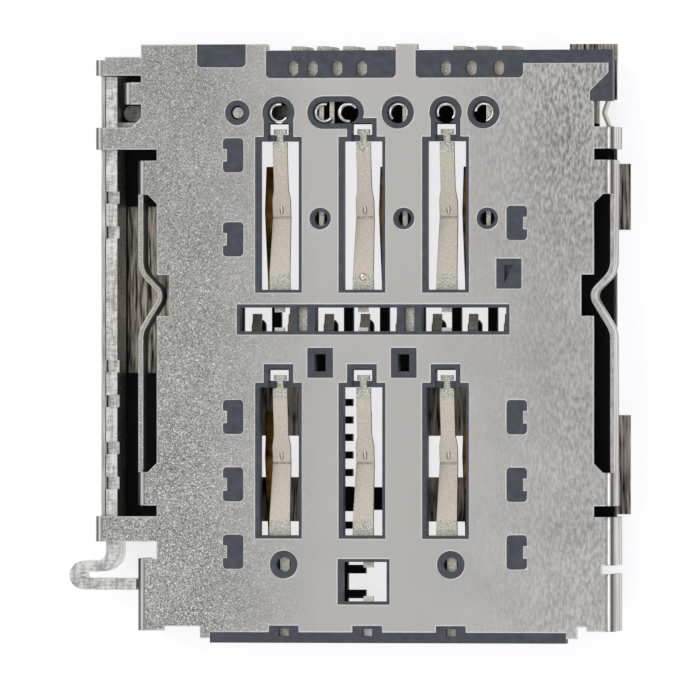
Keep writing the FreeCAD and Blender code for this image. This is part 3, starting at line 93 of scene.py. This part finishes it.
# %% Feeding and adding nodes
def feed(tree, node, inputs):
    """Feeds inputs of a node. A source is a value, an output, or a node whose own result is meant."""
    for socket, source in inputs.items():
        if isinstance(source, bpy.types.Node):
            source = next(output for output in source.outputs if output.enabled)
        if isinstance(source, bpy.types.NodeSocket):
            tree.links.new(source, node.inputs[socket])
        else:
            node.inputs[socket].default_value = source


def add_node(tree, kind, inputs=None, **settings):
    """Adds one node with its settings and feeds it."""
    node = tree.nodes.new(kind)
    for name, value in settings.items():
        setattr(node, name, value)
    feed(tree, node, inputs or {})
    return node


def span(first, last, low=0.0, high=1.0):
    """Inputs that bring the range from first to last into the range from low to high."""
    return {"From Min": first, "From Max": last, "To Min": low, "To Max": high}

# %% [markdown]
# ## What every finish is made of
# Every finish here starts from one Principled shader and from patterns in Object coordinates,
# which stay on a piece when it moves. An image could give the pattern, but it would blur up
# close and would need a layout for each piece, so noise is used, with its size in millimetres.

# %% A new finish, grain and two tones
def new_finish(name, **settings):
    """A material with one Principled shader set so, its tree, and Object coordinates in metres."""
    material = bpy.data.materials.new(name)
    material.use_nodes = True
    tree = material.node_tree
    shader = tree.nodes["Principled BSDF"]
    feed(tree, shader, settings)
    return material, tree, shader, add_node(tree, "ShaderNodeTexCoord").outputs["Object"]


def grain(tree, place, size_mm, stretch=(1, 1, 1), detail=2.0):
    """Noise whose lumps are size_mm across, drawn out along an axis by stretch."""
    scale = [1 / (size_mm * MM * part) for part in stretch]
    moved = add_node(tree, "ShaderNodeMapping", {"Vector": place, "Scale": scale})
    return add_node(tree, "ShaderNodeTexNoise", {"Vector": moved, "Scale": 1.0, "Detail": detail})


def tones(tree, pattern, limits, codes):
    """Colours that follow one another where a pattern runs through the limits."""
    ramp = add_node(tree, "ShaderNodeValToRGB", {"Fac": pattern})
    stops = ramp.color_ramp.elements
    for stop, limit, code in zip(stops, (limits[0], limits[-1]), (codes[0], codes[-1])):
        stop.position, stop.color = limit, linear(code)
    for limit, code in zip(limits[1:-1], codes[1:-1]):
        stops.new(limit).color = linear(code)
    return ramp


SOFT_LIMITS = (0.3, 0.7)
CRISP_LIMITS = (0.36, 0.64)

# %% [markdown]
# ## Edges and relief
# A stamped or moulded edge is never knife sharp, and its small radius catches light. A Bevel
# modifier could round it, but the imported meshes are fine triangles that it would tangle. The
# Bevel node only bends the normal near an edge, and the Bump node adds the relief of the
# grain to it, so the meshes stay as they are.

# %% Soft edges and relief
EDGE_MM = 0.02
BEVEL_SAMPLES = 6
LEAN_LIMITS = (0.995, 0.9)


def raise_surface(tree, shader, pattern, depth_mm, strength, edge_mm=EDGE_MM):
    """Relief from a pattern, its height in millimetres, over edges softened by edge_mm."""
    edge = add_node(tree, "ShaderNodeBevel", {"Radius": edge_mm * MM}, samples=BEVEL_SAMPLES)
    relief = {"Height": pattern, "Distance": depth_mm * MM, "Strength": strength, "Normal": edge}
    feed(tree, shader, {"Normal": add_node(tree, "ShaderNodeBump", relief)})
    return edge


def edge_light(tree, edge):
    """Mask for painted highlights on softened edges: 1 on those edges and 0 on open faces, from how far the
    softened normal leans.
    """
    face = add_node(tree, "ShaderNodeNewGeometry").outputs["True Normal"]
    both = add_node(tree, "ShaderNodeVectorMath", {0: edge, 1: face}, operation="DOT_PRODUCT")
    return add_node(tree, "ShaderNodeMapRange", {"Value": both.outputs["Value"], **span(*LEAN_LIMITS)})


def facing_up(tree):
    """How far a face looks up: 1 on the flat and 0 on an upright wall."""
    face = add_node(tree, "ShaderNodeNewGeometry").outputs["True Normal"]
    return add_node(tree, "ShaderNodeSeparateXYZ", {0: face}).outputs["Z"]


def paint(material, *names):
    """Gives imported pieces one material."""
    for name in names:
        mesh = nodes[name].data
        mesh.materials.clear()
        mesh.materials.append(material)
    print(material.name, "on", len(names), "pieces")

# %% [markdown]
# ## Floor and white ground
# The photograph has a plain white ground. More lamp light would whiten the floor, but it would
# bleach the steel as well. So the floor is a pale matt face that takes the object's soft
# shadow, and part of it glows white, only for the camera and for reflections.

# %% Floor
GROUND_CODE, GLOW_CODE = "f4f4f6", "fdfdff"
GROUND_GLOW = 0.56
GLOW_STRENGTH = 1.4
FLOOR_HALF = 0.6


def white_ground():
    """Matt pale face, lifted to white where the camera or a gloss sees it."""
    material = bpy.data.materials.new("white_ground")
    material.use_nodes = True
    tree = material.node_tree
    tree.nodes.remove(tree.nodes["Principled BSDF"])
    path = add_node(tree, "ShaderNodeLightPath").outputs
    rays = {0: path["Is Camera Ray"], 1: path["Is Glossy Ray"]}
    seen = add_node(tree, "ShaderNodeMath", rays, operation="MAXIMUM")
    share = add_node(tree, "ShaderNodeMath", {0: seen, 1: GROUND_GLOW}, operation="MULTIPLY")
    matte = add_node(tree, "ShaderNodeBsdfDiffuse", {"Color": linear(GROUND_CODE)})
    glow = add_node(tree, "ShaderNodeEmission", {"Color": linear(GLOW_CODE), "Strength": GLOW_STRENGTH})
    mixed = add_node(tree, "ShaderNodeMixShader", {0: share, 1: matte, 2: glow})
    feed(tree, tree.nodes["Material Output"], {"Surface": mixed})
    return material


floor_mesh = bpy.data.meshes.new("floor")
floor_corners = [(-1, -1), (1, -1), (1, 1), (-1, 1)]
floor_mesh.from_pydata([(x * FLOOR_HALF, y * FLOOR_HALF, 0.0) for x, y in floor_corners], [], [(0, 1, 2, 3)])
floor = bpy.data.objects.new("floor", floor_mesh)
floor_mesh.materials.append(white_ground())
bpy.context.scene.collection.objects.link(floor)
print("floor side in m:", 2 * FLOOR_HALF)

# %% [markdown]
# ## Light
# The object lay in a bright box, so light came from all around. One strong lamp would throw
# hard shadows into the slots. Here the world gives most of the light, and three wide lamps add
# a little from the rear left, the right and the front, at a level at which a colour renders
# about as it is written.

# %% World and lamps
WORLD_CODE = "f3f4f6"
WORLD_LEVEL = 0.62

world = bpy.data.worlds.new("studio")
bpy.context.scene.world = world
world.use_nodes = True
background = world.node_tree.nodes["Background"]
feed(world.node_tree, background, {"Color": linear(WORLD_CODE), "Strength": WORLD_LEVEL})
bpy.context.scene.view_settings.view_transform = "Standard"


def soft_lamp(name, place_mm, side_mm, watts):
    """Square area lamp that faces the middle of the object."""
    data = bpy.data.lights.new(name, "AREA")
    data.size = side_mm * MM
    data.energy = watts
    lamp = bpy.data.objects.new(name, data)
    lamp.location = [value * MM for value in place_mm]
    lamp.rotation_euler = (-lamp.location).to_track_quat("-Z", "Y").to_euler()
    bpy.context.scene.collection.objects.link(lamp)
    print(name, "side", side_mm, "mm")


soft_lamp("lamp_rear_left", (-90, 70, 150), side_mm=90, watts=0.06)
soft_lamp("lamp_right", (120, -20, 130), side_mm=60, watts=0.035)
soft_lamp("lamp_front", (-30, -120, 140), side_mm=90, watts=0.04)

# %% [markdown]
# ## Cover: stamped stainless steel
# The cover is stamped from stainless strip 0.15 mm thick. The middle of its plate is smooth.
# Toward the left it carries fine pits from tumbling, strongest at the front, with their sparkle painted
# as near-white glints, and toward the right short rolling strokes, strongest at the rear. Three
# materials on three areas would leave seams, so one material blends the marks by place.

# %% Where the marks lie
# Tumbling pits are about 0.01 mm wide, too fine to show, so they are drawn as wide as a pixel.
PIT_MM = 0.034
# Sparks are painted glints: near-white spots in the colour of the pitted side.
SPARK_MM = 0.04
# Rolling strokes are about 0.07 mm wide and a little under 0.2 mm long.
STROKE_MM = 0.07
STROKE_STRETCH = (1, 2.6, 1)
CLOUD_MM = 2.2
LEFT_FADE = (-0.6 * MM, -4.2 * MM)
RIGHT_FADE = (2.6 * MM, 6.8 * MM)
REAR_TO_FRONT = (6.0 * MM, -7.0 * MM)
STROKES_FADE = (8.0 * MM, 1.0 * MM)
PITS_SHARE = (0.6, 1.0)
STROKES_SHARE = (0.8, 0.3)
SHADE_SHARE = (0.33, 0.06)
CALM_RANGE = (0.42, 0.58)


def worn_plate(tree, place):
    """Marks of the plate, with the shares of its left side, its pits, its right side and its painted shade.
    """
    parts = add_node(tree, "ShaderNodeSeparateXYZ", {0: place}).outputs
    across, along = parts["X"], parts["Y"]
    left = add_node(tree, "ShaderNodeMapRange", {"Value": across, **span(*LEFT_FADE)})
    right = add_node(tree, "ShaderNodeMapRange", {"Value": across, **span(*RIGHT_FADE)})
    shares = []
    for side, fade, limits in ((left, REAR_TO_FRONT, PITS_SHARE), (right, STROKES_FADE, STROKES_SHARE),
                               (right, REAR_TO_FRONT, SHADE_SHARE)):
        strength = add_node(tree, "ShaderNodeMapRange", {"Value": along, **span(*fade, *limits)})
        shares.append(add_node(tree, "ShaderNodeMath", {0: side, 1: strength}, operation="MULTIPLY"))
    pitted, stroked, shaded = shares
    noise = [grain(tree, place, PIT_MM), grain(tree, place, STROKE_MM, STROKE_STRETCH)]
    full = [add_node(tree, "ShaderNodeMapRange", {"Value": part, **span(*SOFT_LIMITS)}) for part in noise]
    pits, strokes = full
    calm = add_node(tree, "ShaderNodeMapRange", {"Value": pits, **span(0.0, 1.0, *CALM_RANGE)})
    smooth = add_node(tree, "ShaderNodeMix", {"Factor": pitted, 2: calm, 3: pits})
    marks = add_node(tree, "ShaderNodeMix", {"Factor": stroked, 2: smooth, 3: strokes})
    return marks, left, pitted, right, shaded

# %% [markdown]
# ## Tone of the plate
# The marks change the tone as well as the relief. A single grey would look like paint, so the
# left, the middle and the right each have two tones that follow the marks. The rear right corner
# gets a little painted shade, and painted glints and painted highlights on the rims are nearly white.

# %% Plate tones
COVER = {
    "left": ("6a6965", "cccac5"),
    "middle": ("c4c2bd", "d6d3cf"),
    "right": ("a8a5a1", "f0ede9"),
    "shade": "6c6964",
    "rim": "fbf9f5",
    "walls": ("7f7c76", "eeebe6"),
    "bend": ("b9b6b0", "8d8a84", "5b5852", "fbf9f5", "6d6a65"),
}
CLOUD_SHARE = 0.25
LEFT_LIMITS, MIDDLE_LIMITS = (0.2, 0.8), (0.28, 0.72)
SPARK_LIMITS = (0.57, 0.7)


def plate_tone(tree, place, worn, edge):
    """Colour of the plate: two tones by place, painted shade at the rear right, painted glints on the pitted
    side and painted highlights on the rims.
    """
    marks, left, pitted, right, shaded = worn
    clouds = grain(tree, place, CLOUD_MM)
    pattern = add_node(tree, "ShaderNodeMix", {"Factor": CLOUD_SHARE, 2: marks, 3: clouds})
    middle_tone = tones(tree, pattern, MIDDLE_LIMITS, COVER["middle"])
    right_tone = tones(tree, pattern, SOFT_LIMITS, COVER["right"])
    left_tone = tones(tree, pattern, LEFT_LIMITS, COVER["left"])
    sheet = middle_tone
    # The last share is painted shade at the rear right.
    for share, tone in ((right, right_tone), (left, left_tone), (shaded, linear(COVER["shade"]))):
        sheet = add_node(tree, "ShaderNodeMix", {"Factor": share, 6: sheet, 7: tone}, data_type="RGBA")
    # Painted glints on the pits and painted highlights on the softened rims, both in the colour.
    noise = grain(tree, place, SPARK_MM, detail=1.0)
    sparks = add_node(tree, "ShaderNodeMapRange", {"Value": noise, **span(*SPARK_LIMITS)})
    glint = add_node(tree, "ShaderNodeMath", {0: sparks, 1: pitted}, operation="MULTIPLY")
    bright = add_node(tree, "ShaderNodeMath", {0: glint, 1: edge_light(tree, edge)}, operation="MAXIMUM")
    lit = {"Factor": bright, 6: sheet, 7: linear(COVER["rim"])}
    return add_node(tree, "ShaderNodeMix", lit, data_type="RGBA")

# %% [markdown]
# ## Folds and walls of the cover
# Where the sheet is folded down, the curve of each fold mirrors the dark and light parts of the
# room as thin lines along it; these lines are painted reflections in the colour, and the walls show
# long faint streaks. Real cards around the object would give the same lines, but they would also
# change the plate. So the painted tone follows how far a face looks up, through five tones round the fold.

# %% Bend and wall tones
STREAK_MM = 0.16
STREAK_STRETCH = (30, 30, 1)
STREAK_LIMITS = (0.35, 0.65)
# Limits of the five painted reflection tones round a fold.
BEND_LIMITS = (0.1, 0.4, 0.7, 0.88, 0.97)
PLATE_LIMITS = (0.96, 0.995)
WALL_LIMITS = (0.25, 0.05)


def folded_tone(tree, place, plate):
    """Plate tone on the flat, painted reflection lines round a fold, and streaks on the walls."""
    upward = facing_up(tree)
    walls = tones(tree, grain(tree, place, STREAK_MM, STREAK_STRETCH), STREAK_LIMITS, COVER["walls"])
    bend = tones(tree, upward, BEND_LIMITS, COVER["bend"])
    on_wall = add_node(tree, "ShaderNodeMapRange", {"Value": upward, **span(*WALL_LIMITS)})
    on_plate = add_node(tree, "ShaderNodeMapRange", {"Value": upward, **span(*PLATE_LIMITS)})
    folded = add_node(tree, "ShaderNodeMix", {"Factor": on_wall, 6: bend, 7: walls}, data_type="RGBA")
    return add_node(tree, "ShaderNodeMix", {"Factor": on_plate, 6: folded, 7: plate}, data_type="RGBA")

# %% The cover's material
SHEET_DEPTH_MM = 0.008
PLATE_STRENGTH = 0.7
RIM_MM = 0.07
COVER_GLOSS = (0.26, 0.56)


def cover_stainless():
    """Stamped stainless steel: a satin metal with marks, painted highlights on its rims and painted
    reflection lines on its folds.
    """
    material, tree, shader, place = new_finish("cover_stainless", Metallic=1.0)
    worn = worn_plate(tree, place)
    marks = worn[0]
    edge = raise_surface(tree, shader, marks, SHEET_DEPTH_MM, PLATE_STRENGTH, RIM_MM)
    gloss = add_node(tree, "ShaderNodeMapRange", {"Value": marks, **span(0.0, 1.0, *COVER_GLOSS)})
    colour = folded_tone(tree, place, plate_tone(tree, place, worn, edge))
    feed(tree, shader, {"Base Color": colour, "Roughness": gloss})
    return material


paint(cover_stainless(), "top_shell")

# %% [markdown]
# ## Base shell: shaded stainless steel
# The base shell is the same strip, but it lies under the tray. Its solder tabs and other low
# flats get dark brown painted shade, streaked along the rolling, its left wall is painted duller as
# shade, and its highest edge gets painted light as bright as the cover. A second light for the base
# could do part of this, but the height of a point and the way that its face looks already tell the
# three apart, so the painted light and shade follow them.

# %% Base steel
STRIPE_MM = 0.07
STRIPE_STRETCH = (1, 14, 1)
# Heights over which the painted shade of the low flats gives way to the painted light of the top.
LOW_SHADE_TO = (0.6 * MM, 1.8 * MM)
FLAT_LIMITS = (0.35, 0.9)
BASE_STRENGTH = 0.6
BASE_GLOSS = (0.28, 0.5)
BASE_SHADING = {"tabs": ("2f2a25", "ded3c4"), "walls": ("8d8579", "b9b0a3"), "top": ("a8a49d", "e4e1dc")}


def base_lit_and_shaded():
    """Base sheet: dark brown painted shade with streaks on low flats, duller painted shade on walls, painted
    light near the top.
    """
    material, tree, shader, place = new_finish("base_lit_and_shaded", Metallic=1.0)
    stripes = grain(tree, place, STRIPE_MM, STRIPE_STRETCH, detail=3.0)
    tabs = tones(tree, stripes, CRISP_LIMITS, BASE_SHADING["tabs"])
    walls = tones(tree, stripes, SOFT_LIMITS, BASE_SHADING["walls"])
    top = tones(tree, stripes, SOFT_LIMITS, BASE_SHADING["top"])
    flat = add_node(tree, "ShaderNodeMapRange", {"Value": facing_up(tree), **span(*FLAT_LIMITS)})
    deep = add_node(tree, "ShaderNodeMix", {"Factor": flat, 6: walls, 7: tabs}, data_type="RGBA")
    tall = add_node(tree, "ShaderNodeSeparateXYZ", {0: place}).outputs["Z"]
    high = add_node(tree, "ShaderNodeMapRange", {"Value": tall, **span(*LOW_SHADE_TO)})
    colour = add_node(tree, "ShaderNodeMix", {"Factor": high, 6: deep, 7: top}, data_type="RGBA")
    gloss = add_node(tree, "ShaderNodeMapRange", {"Value": stripes, **span(0.0, 1.0, *BASE_GLOSS)})
    feed(tree, shader, {"Base Color": colour, "Roughness": gloss})
    raise_surface(tree, shader, stripes, SHEET_DEPTH_MM, BASE_STRENGTH)
    return material


paint(base_lit_and_shaded(), "base_shell")

# %% [markdown]
# ## Rod and lever: blanked steel
# The eject rod is blanked from thicker strip and stands on edge, so its sheared edge faces up.
# Shearing leaves fine marks across the edge and uneven bright streaks along it. One noise could
# do for both, but it would look like dirt, so two noises with their own direction are blended.

# %% Rod steel
MARK_MM, MARK_STRETCH = 0.07, (3, 1, 6)
SMEAR_MM, SMEAR_STRETCH, SMEAR_SHARE = 0.1, (1, 5, 1), 0.55
SHEAR_LIMITS = (0.38, 0.58)
SHEAR_DEPTH_MM, SHEAR_STRENGTH = 0.004, 0.4
SHEAR_GLOSS = (-0.08, 0.1)


def sheared_steel(name, codes, roughness):
    """Sheared edge with fine marks across and uneven streaks along."""
    material, tree, shader, place = new_finish(name, Metallic=1.0)
    across, along = grain(tree, place, MARK_MM, MARK_STRETCH), grain(tree, place, SMEAR_MM, SMEAR_STRETCH)
    marks = add_node(tree, "ShaderNodeMix", {"Factor": SMEAR_SHARE, 2: across, 3: along})
    limits = [roughness + change for change in SHEAR_GLOSS]
    gloss = add_node(tree, "ShaderNodeMapRange", {"Value": marks, **span(0.0, 1.0, *limits)})
    feed(tree, shader, {"Base Color": tones(tree, marks, SHEAR_LIMITS, codes), "Roughness": gloss})
    raise_surface(tree, shader, marks, SHEAR_DEPTH_MM, SHEAR_STRENGTH)
    return material


paint(sheared_steel("rod_stainless", ("bab7b1", "f8f6f2"), roughness=0.34), "eject_rod")
# The lever's dark tones are painted shade, for the shadow in which it lies.
paint(sheared_steel("lever_stainless_painted_shade", ("4b4843", "8c8881"), roughness=0.36), "eject_lever")
paint(sheared_steel("pin_stainless", ("b5b2ab", "dad7d0"), roughness=0.36), "lever_pivot_pin")

# %% [markdown]
# ## Plated contacts
# The upper contacts are copper alloy with a satin nickel plate, which looks warm and pale. The
# second card's contacts carry a gold flash and lie in shade, so their colour is painted shade, dark
# brown with gold patches, and the memory card's contacts are painted paler, as painted light against
# their shade. A plain colour would look cast in one piece, so the plate gets faint specks.

# %% Contact finishes
PLATE_DEPTH_MM, PLATING_STRENGTH = 0.002, 0.35
PLATING_GLOSS = (-0.05, 0.12)


def plated(name, codes, roughness, speck_mm, end_tones=None):
    """Plate over copper alloy, with specks speck_mm wide, and other tones on the ends where a finish has
    them.
    """
    material, tree, shader, place = new_finish(name, Metallic=1.0)
    specks = grain(tree, place, speck_mm, detail=3.0)
    limits = [roughness + change for change in PLATING_GLOSS]
    gloss = add_node(tree, "ShaderNodeMapRange", {"Value": specks, **span(0.0, 1.0, *limits)})
    colour = tones(tree, specks, SOFT_LIMITS, codes)
    colour = end_tones(tree, place, colour) if end_tones else colour
    feed(tree, shader, {"Base Color": colour, "Roughness": gloss})
    raise_surface(tree, shader, specks, PLATE_DEPTH_MM, PLATING_STRENGTH)
    return material

# %% [markdown]
# ## Ends of the upper contacts
# The flat ends of the spring arms are lighter, with fine bright specks, and the solder tails at the
# rear are greyer and darker. Both could be pieces of their own, but they are one strip, so the tone
# follows the way a face looks and its height.

# %% Worn ends
END_SPECK_MM = 0.036
LEVEL_CODES = ("9d9a8a", "f6f3e7")
TAIL_CODES = ("6a6864", "c5c2bc")
END_LIMITS = (0.9975, 0.9995)
TAIL_TO = (1.55 * MM, 1.35 * MM)


def flat_ends(tree, place, colour):
    """Brighter speckled tone on level faces and darker grey on the low tails."""
    end_specks = grain(tree, place, END_SPECK_MM)
    level = add_node(tree, "ShaderNodeMapRange", {"Value": facing_up(tree), **span(*END_LIMITS)})
    tall = add_node(tree, "ShaderNodeSeparateXYZ", {0: place}).outputs["Z"]
    low = add_node(tree, "ShaderNodeMapRange", {"Value": tall, **span(*TAIL_TO)})
    for share, codes in ((level, LEVEL_CODES), (low, TAIL_CODES)):
        tone = tones(tree, end_specks, SOFT_LIMITS, codes)
        colour = add_node(tree, "ShaderNodeMix", {"Factor": share, 6: colour, 7: tone}, data_type="RGBA")
    return colour

# %% Painting the contacts
upper_names = ["sim_contact_%d" % number for number in range(1, 7)]
lower_names = ["second_sim_contact_%d" % number for number in range(1, 7)]
card_names = ["card_contact_%d" % number for number in range(1, 9)]
satin = {"codes": ("cabfb2", "dfd5c9"), "roughness": 0.46, "speck_mm": 0.06}
paint(plated("satin_nickel", **satin, end_tones=flat_ends), *upper_names)
paint(plated("switch_nickel", **satin), "detect_leaf", "detect_contact")
paint(plated("bright_nickel", ("e9e1d4", "f8f2e8"), roughness=0.4, speck_mm=0.06), "carrier_stubs")
# Painted shade: the second card's contacts are coloured dark for the shade they lie in.
paint(plated("gold_flash_painted_shade", ("2b2114", "b58a44"), roughness=0.34, speck_mm=0.45), *lower_names)
# Painted light: the memory card's contacts are coloured paler to lift them out of their shade.
paint(plated("gold_painted_pale", ("c9beae", "f2e9db"), roughness=0.55, speck_mm=0.1), *card_names)

# %% [markdown]
# ## Moulded plastic
# Both mouldings are liquid crystal polymer with glass fibre: slate grey on top, nearly black
# below. The fibre makes the skin matt and faintly mottled. The mottling could be relief alone,
# but flow marks are a change of tone too, so a coarse noise gives tone and a fine one gloss.

# %% Plastic
SKIN_MM = 0.04
SKIN_DEPTH_MM, SKIN_STRENGTH = 0.003, 0.4
SKIN_GLOSS = (-0.06, 0.08)


def moulded(name, codes, roughness, mottle_mm, ior):
    """Glass-filled polymer, matt, with mottles mottle_mm wide."""
    material, tree, shader, place = new_finish(name, IOR=ior)
    mottle, skin = grain(tree, place, mottle_mm, detail=4.0), grain(tree, place, SKIN_MM)
    limits = [roughness + change for change in SKIN_GLOSS]
    gloss = add_node(tree, "ShaderNodeMapRange", {"Value": skin, **span(0.0, 1.0, *limits)})
    feed(tree, shader, {"Base Color": tones(tree, mottle, SOFT_LIMITS, codes), "Roughness": gloss})
    raise_surface(tree, shader, skin, SKIN_DEPTH_MM, SKIN_STRENGTH)
    return material


slate = moulded("slate_polymer", ("30353f", "434955"), roughness=0.5, mottle_mm=0.25, ior=1.6)
black = moulded("black_polymer", ("050506", "0c0c0e"), roughness=0.65, mottle_mm=0.3, ior=1.3)
paint(slate, "top_moulding")
paint(black, "base_moulding")

# %% [markdown]
# ## Small shapes that repeat
# Some small shapes repeat on the socket: dimples pressed into the contacts and bright open
# rings in the bores of the moulding. Each could be copied by hand, but a node group that sets
# one shape on every point of a small mesh keeps all copies alike. Realize Instances turns the
# copies into real mesh, and Set Material gives them their finish.

# %% A node group that sets a shape on points
def shapes_on_points(name, shape, labels, material):
    """Node group: one shape on every point, turned at random within Turn, with one material."""
    tree = bpy.data.node_groups.new(name, "GeometryNodeTree")
    tree.interface.new_socket("Geometry", in_out="INPUT", socket_type="NodeSocketGeometry")
    for label in labels + ["Turn"]:
        tree.interface.new_socket(label, in_out="INPUT", socket_type="NodeSocketFloat")
    tree.interface.new_socket("Seed", in_out="INPUT", socket_type="NodeSocketInt")
    tree.interface.new_socket("Geometry", in_out="OUTPUT", socket_type="NodeSocketGeometry")
    given = add_node(tree, "NodeGroupInput").outputs
    smooth = add_node(tree, "GeometryNodeSetShadeSmooth", {"Geometry": shape(tree, given)})
    most = add_node(tree, "ShaderNodeCombineXYZ", {"Z": given["Turn"]})
    chance = {1: most, "Seed": given["Seed"]}
    turn = add_node(tree, "FunctionNodeRandomValue", chance, data_type="FLOAT_VECTOR")
    spots = {"Points": given["Geometry"], "Instance": smooth, "Rotation": turn}
    placed = add_node(tree, "GeometryNodeInstanceOnPoints", spots)
    real = add_node(tree, "GeometryNodeRealizeInstances", {"Geometry": placed})
    finished = add_node(tree, "GeometryNodeSetMaterial", {"Geometry": real, "Material": material})
    add_node(tree, "NodeGroupOutput", {"Geometry": finished})
    return tree

# %% [markdown]
# ## From points to a piece
# The group runs as a modifier on a mesh that has only points. The export wants a plain mesh
# without modifiers, so the result is copied into a new object, which then joins the socket
# body, and the point mesh is removed.

# %% Setting a shape out
def set_out(name, tree, points_mm, values):
    """The group's shape at each point, as one mesh that belongs to the socket body."""
    seeds = bpy.data.meshes.new(name + "_points")
    seeds.from_pydata([[value * MM for value in point] for point in points_mm], [], [])
    holder = bpy.data.objects.new(name + "_holder", seeds)
    bpy.context.scene.collection.objects.link(holder)
    modifier = holder.modifiers.new("shapes", "NODES")
    modifier.node_group = tree
    for item in tree.interface.items_tree:
        if item.in_out == "INPUT" and item.name in values:
            modifier[item.identifier] = values[item.name]
    bpy.context.view_layer.update()
    made = holder.evaluated_get(bpy.context.evaluated_depsgraph_get())
    piece = bpy.data.objects.new(name, bpy.data.meshes.new_from_object(made))
    bpy.context.scene.collection.objects.link(piece)
    bpy.data.objects.remove(holder)
    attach(piece, "socket")
    print(name, len(points_mm), "copies,", len(piece.data.polygons), "faces")

# %% [markdown]
# ## Dimples of the upper contacts
# Each spring arm carries an oval dimple beside its crown, pressed up from the strip, and the
# middle contact of the rear row has a round one near its root. Cutting them into the packed
# mesh would change it, so a flat smooth ball that stands half out of the strip is used.

# %% Dimples
COLUMN_X, COLUMN_PITCH, ROW_PITCH = 0.57, 2.54, 7.40
CROWN_Y, DIMPLE_Z = 3.96, 1.85
ROOT_DIMPLE = (0.57, 1.93, 2.235)
BALL_SEGMENTS, BALL_RINGS = 24, 12


def oval_shape(tree, given):
    """Smooth ball, drawn out to half width, half length and rise."""
    round_ball = {"Segments": BALL_SEGMENTS, "Rings": BALL_RINGS, "Radius": 1.0}
    ball = add_node(tree, "GeometryNodeMeshUVSphere", round_ball)
    sides = {"X": given["Half width"], "Y": given["Half length"], "Z": given["Rise"]}
    size = add_node(tree, "ShaderNodeCombineXYZ", sides)
    return add_node(tree, "GeometryNodeTransform", {"Geometry": ball, "Scale": size})


columns = [COLUMN_X + step * COLUMN_PITCH for step in (-1, 0, 1)]
arm_points = [(x, CROWN_Y - row, DIMPLE_Z) for row in (0.0, ROW_PITCH) for x in columns]
pressed = plated("pressed_nickel", ("d8cec1", "f2e9dd"), roughness=0.3, speck_mm=0.06)
dimple = shapes_on_points("ovals_on_points", oval_shape, ["Half width", "Half length", "Rise"], pressed)
arm_dimple = {"Half width": 0.062 * MM, "Half length": 0.16 * MM, "Rise": 0.045 * MM}
root_dimple = {"Half width": 0.12 * MM, "Half length": 0.12 * MM, "Rise": 0.055 * MM}
set_out("arm_dimples", dimple, arm_points, arm_dimple)
set_out("root_dimple", dimple, [ROOT_DIMPLE], root_dimple)

# %% [markdown]
# ## Open rings in the wide bores
# In each wide bore at the rear, bright curved metal shows round a dark middle. A full ring
# would look like an eyelet, and the photograph shows breaks, each in its own place. So each is
# a round wire bent to an open ring, and the group turns every copy by a chance amount from a
# fixed seed.

# %% Open rings
RING_Y, RING_Z = 6.87, 2.31
RING_X = (-1.97, -0.60, 0.14, 1.66, 3.11, 4.26)
RING_STEPS, WIRE_STEPS = 40, 12
RING_SEED = 7


def open_ring_shape(tree, given):
    """Round wire bent to an open ring, closed at both ends."""
    bow = {"Resolution": RING_STEPS, "Radius": given["Ring radius"], "Sweep Angle": given["Sweep"]}
    arc = add_node(tree, "GeometryNodeCurveArc", bow)
    section = {"Resolution": WIRE_STEPS, "Radius": given["Wire radius"]}
    wire = add_node(tree, "GeometryNodeCurvePrimitiveCircle", section)
    return add_node(tree, "GeometryNodeCurveToMesh", {"Curve": arc, "Profile Curve": wire, "Fill Caps": True})


polished = plated("polished_wire", ("cfcbc4", "fbfaf7"), roughness=0.22, speck_mm=0.12)
ring_labels = ["Ring radius", "Wire radius", "Sweep"]
open_ring = shapes_on_points("open_rings_on_points", open_ring_shape, ring_labels, polished)
ring_points = [(x, RING_Y, RING_Z) for x in RING_X]
ring_values = {"Ring radius": 0.272 * MM, "Wire radius": 0.062 * MM, "Sweep": math.radians(250)}
set_out("bore_rings", open_ring, ring_points, ring_values | {"Turn": math.tau, "Seed": RING_SEED})
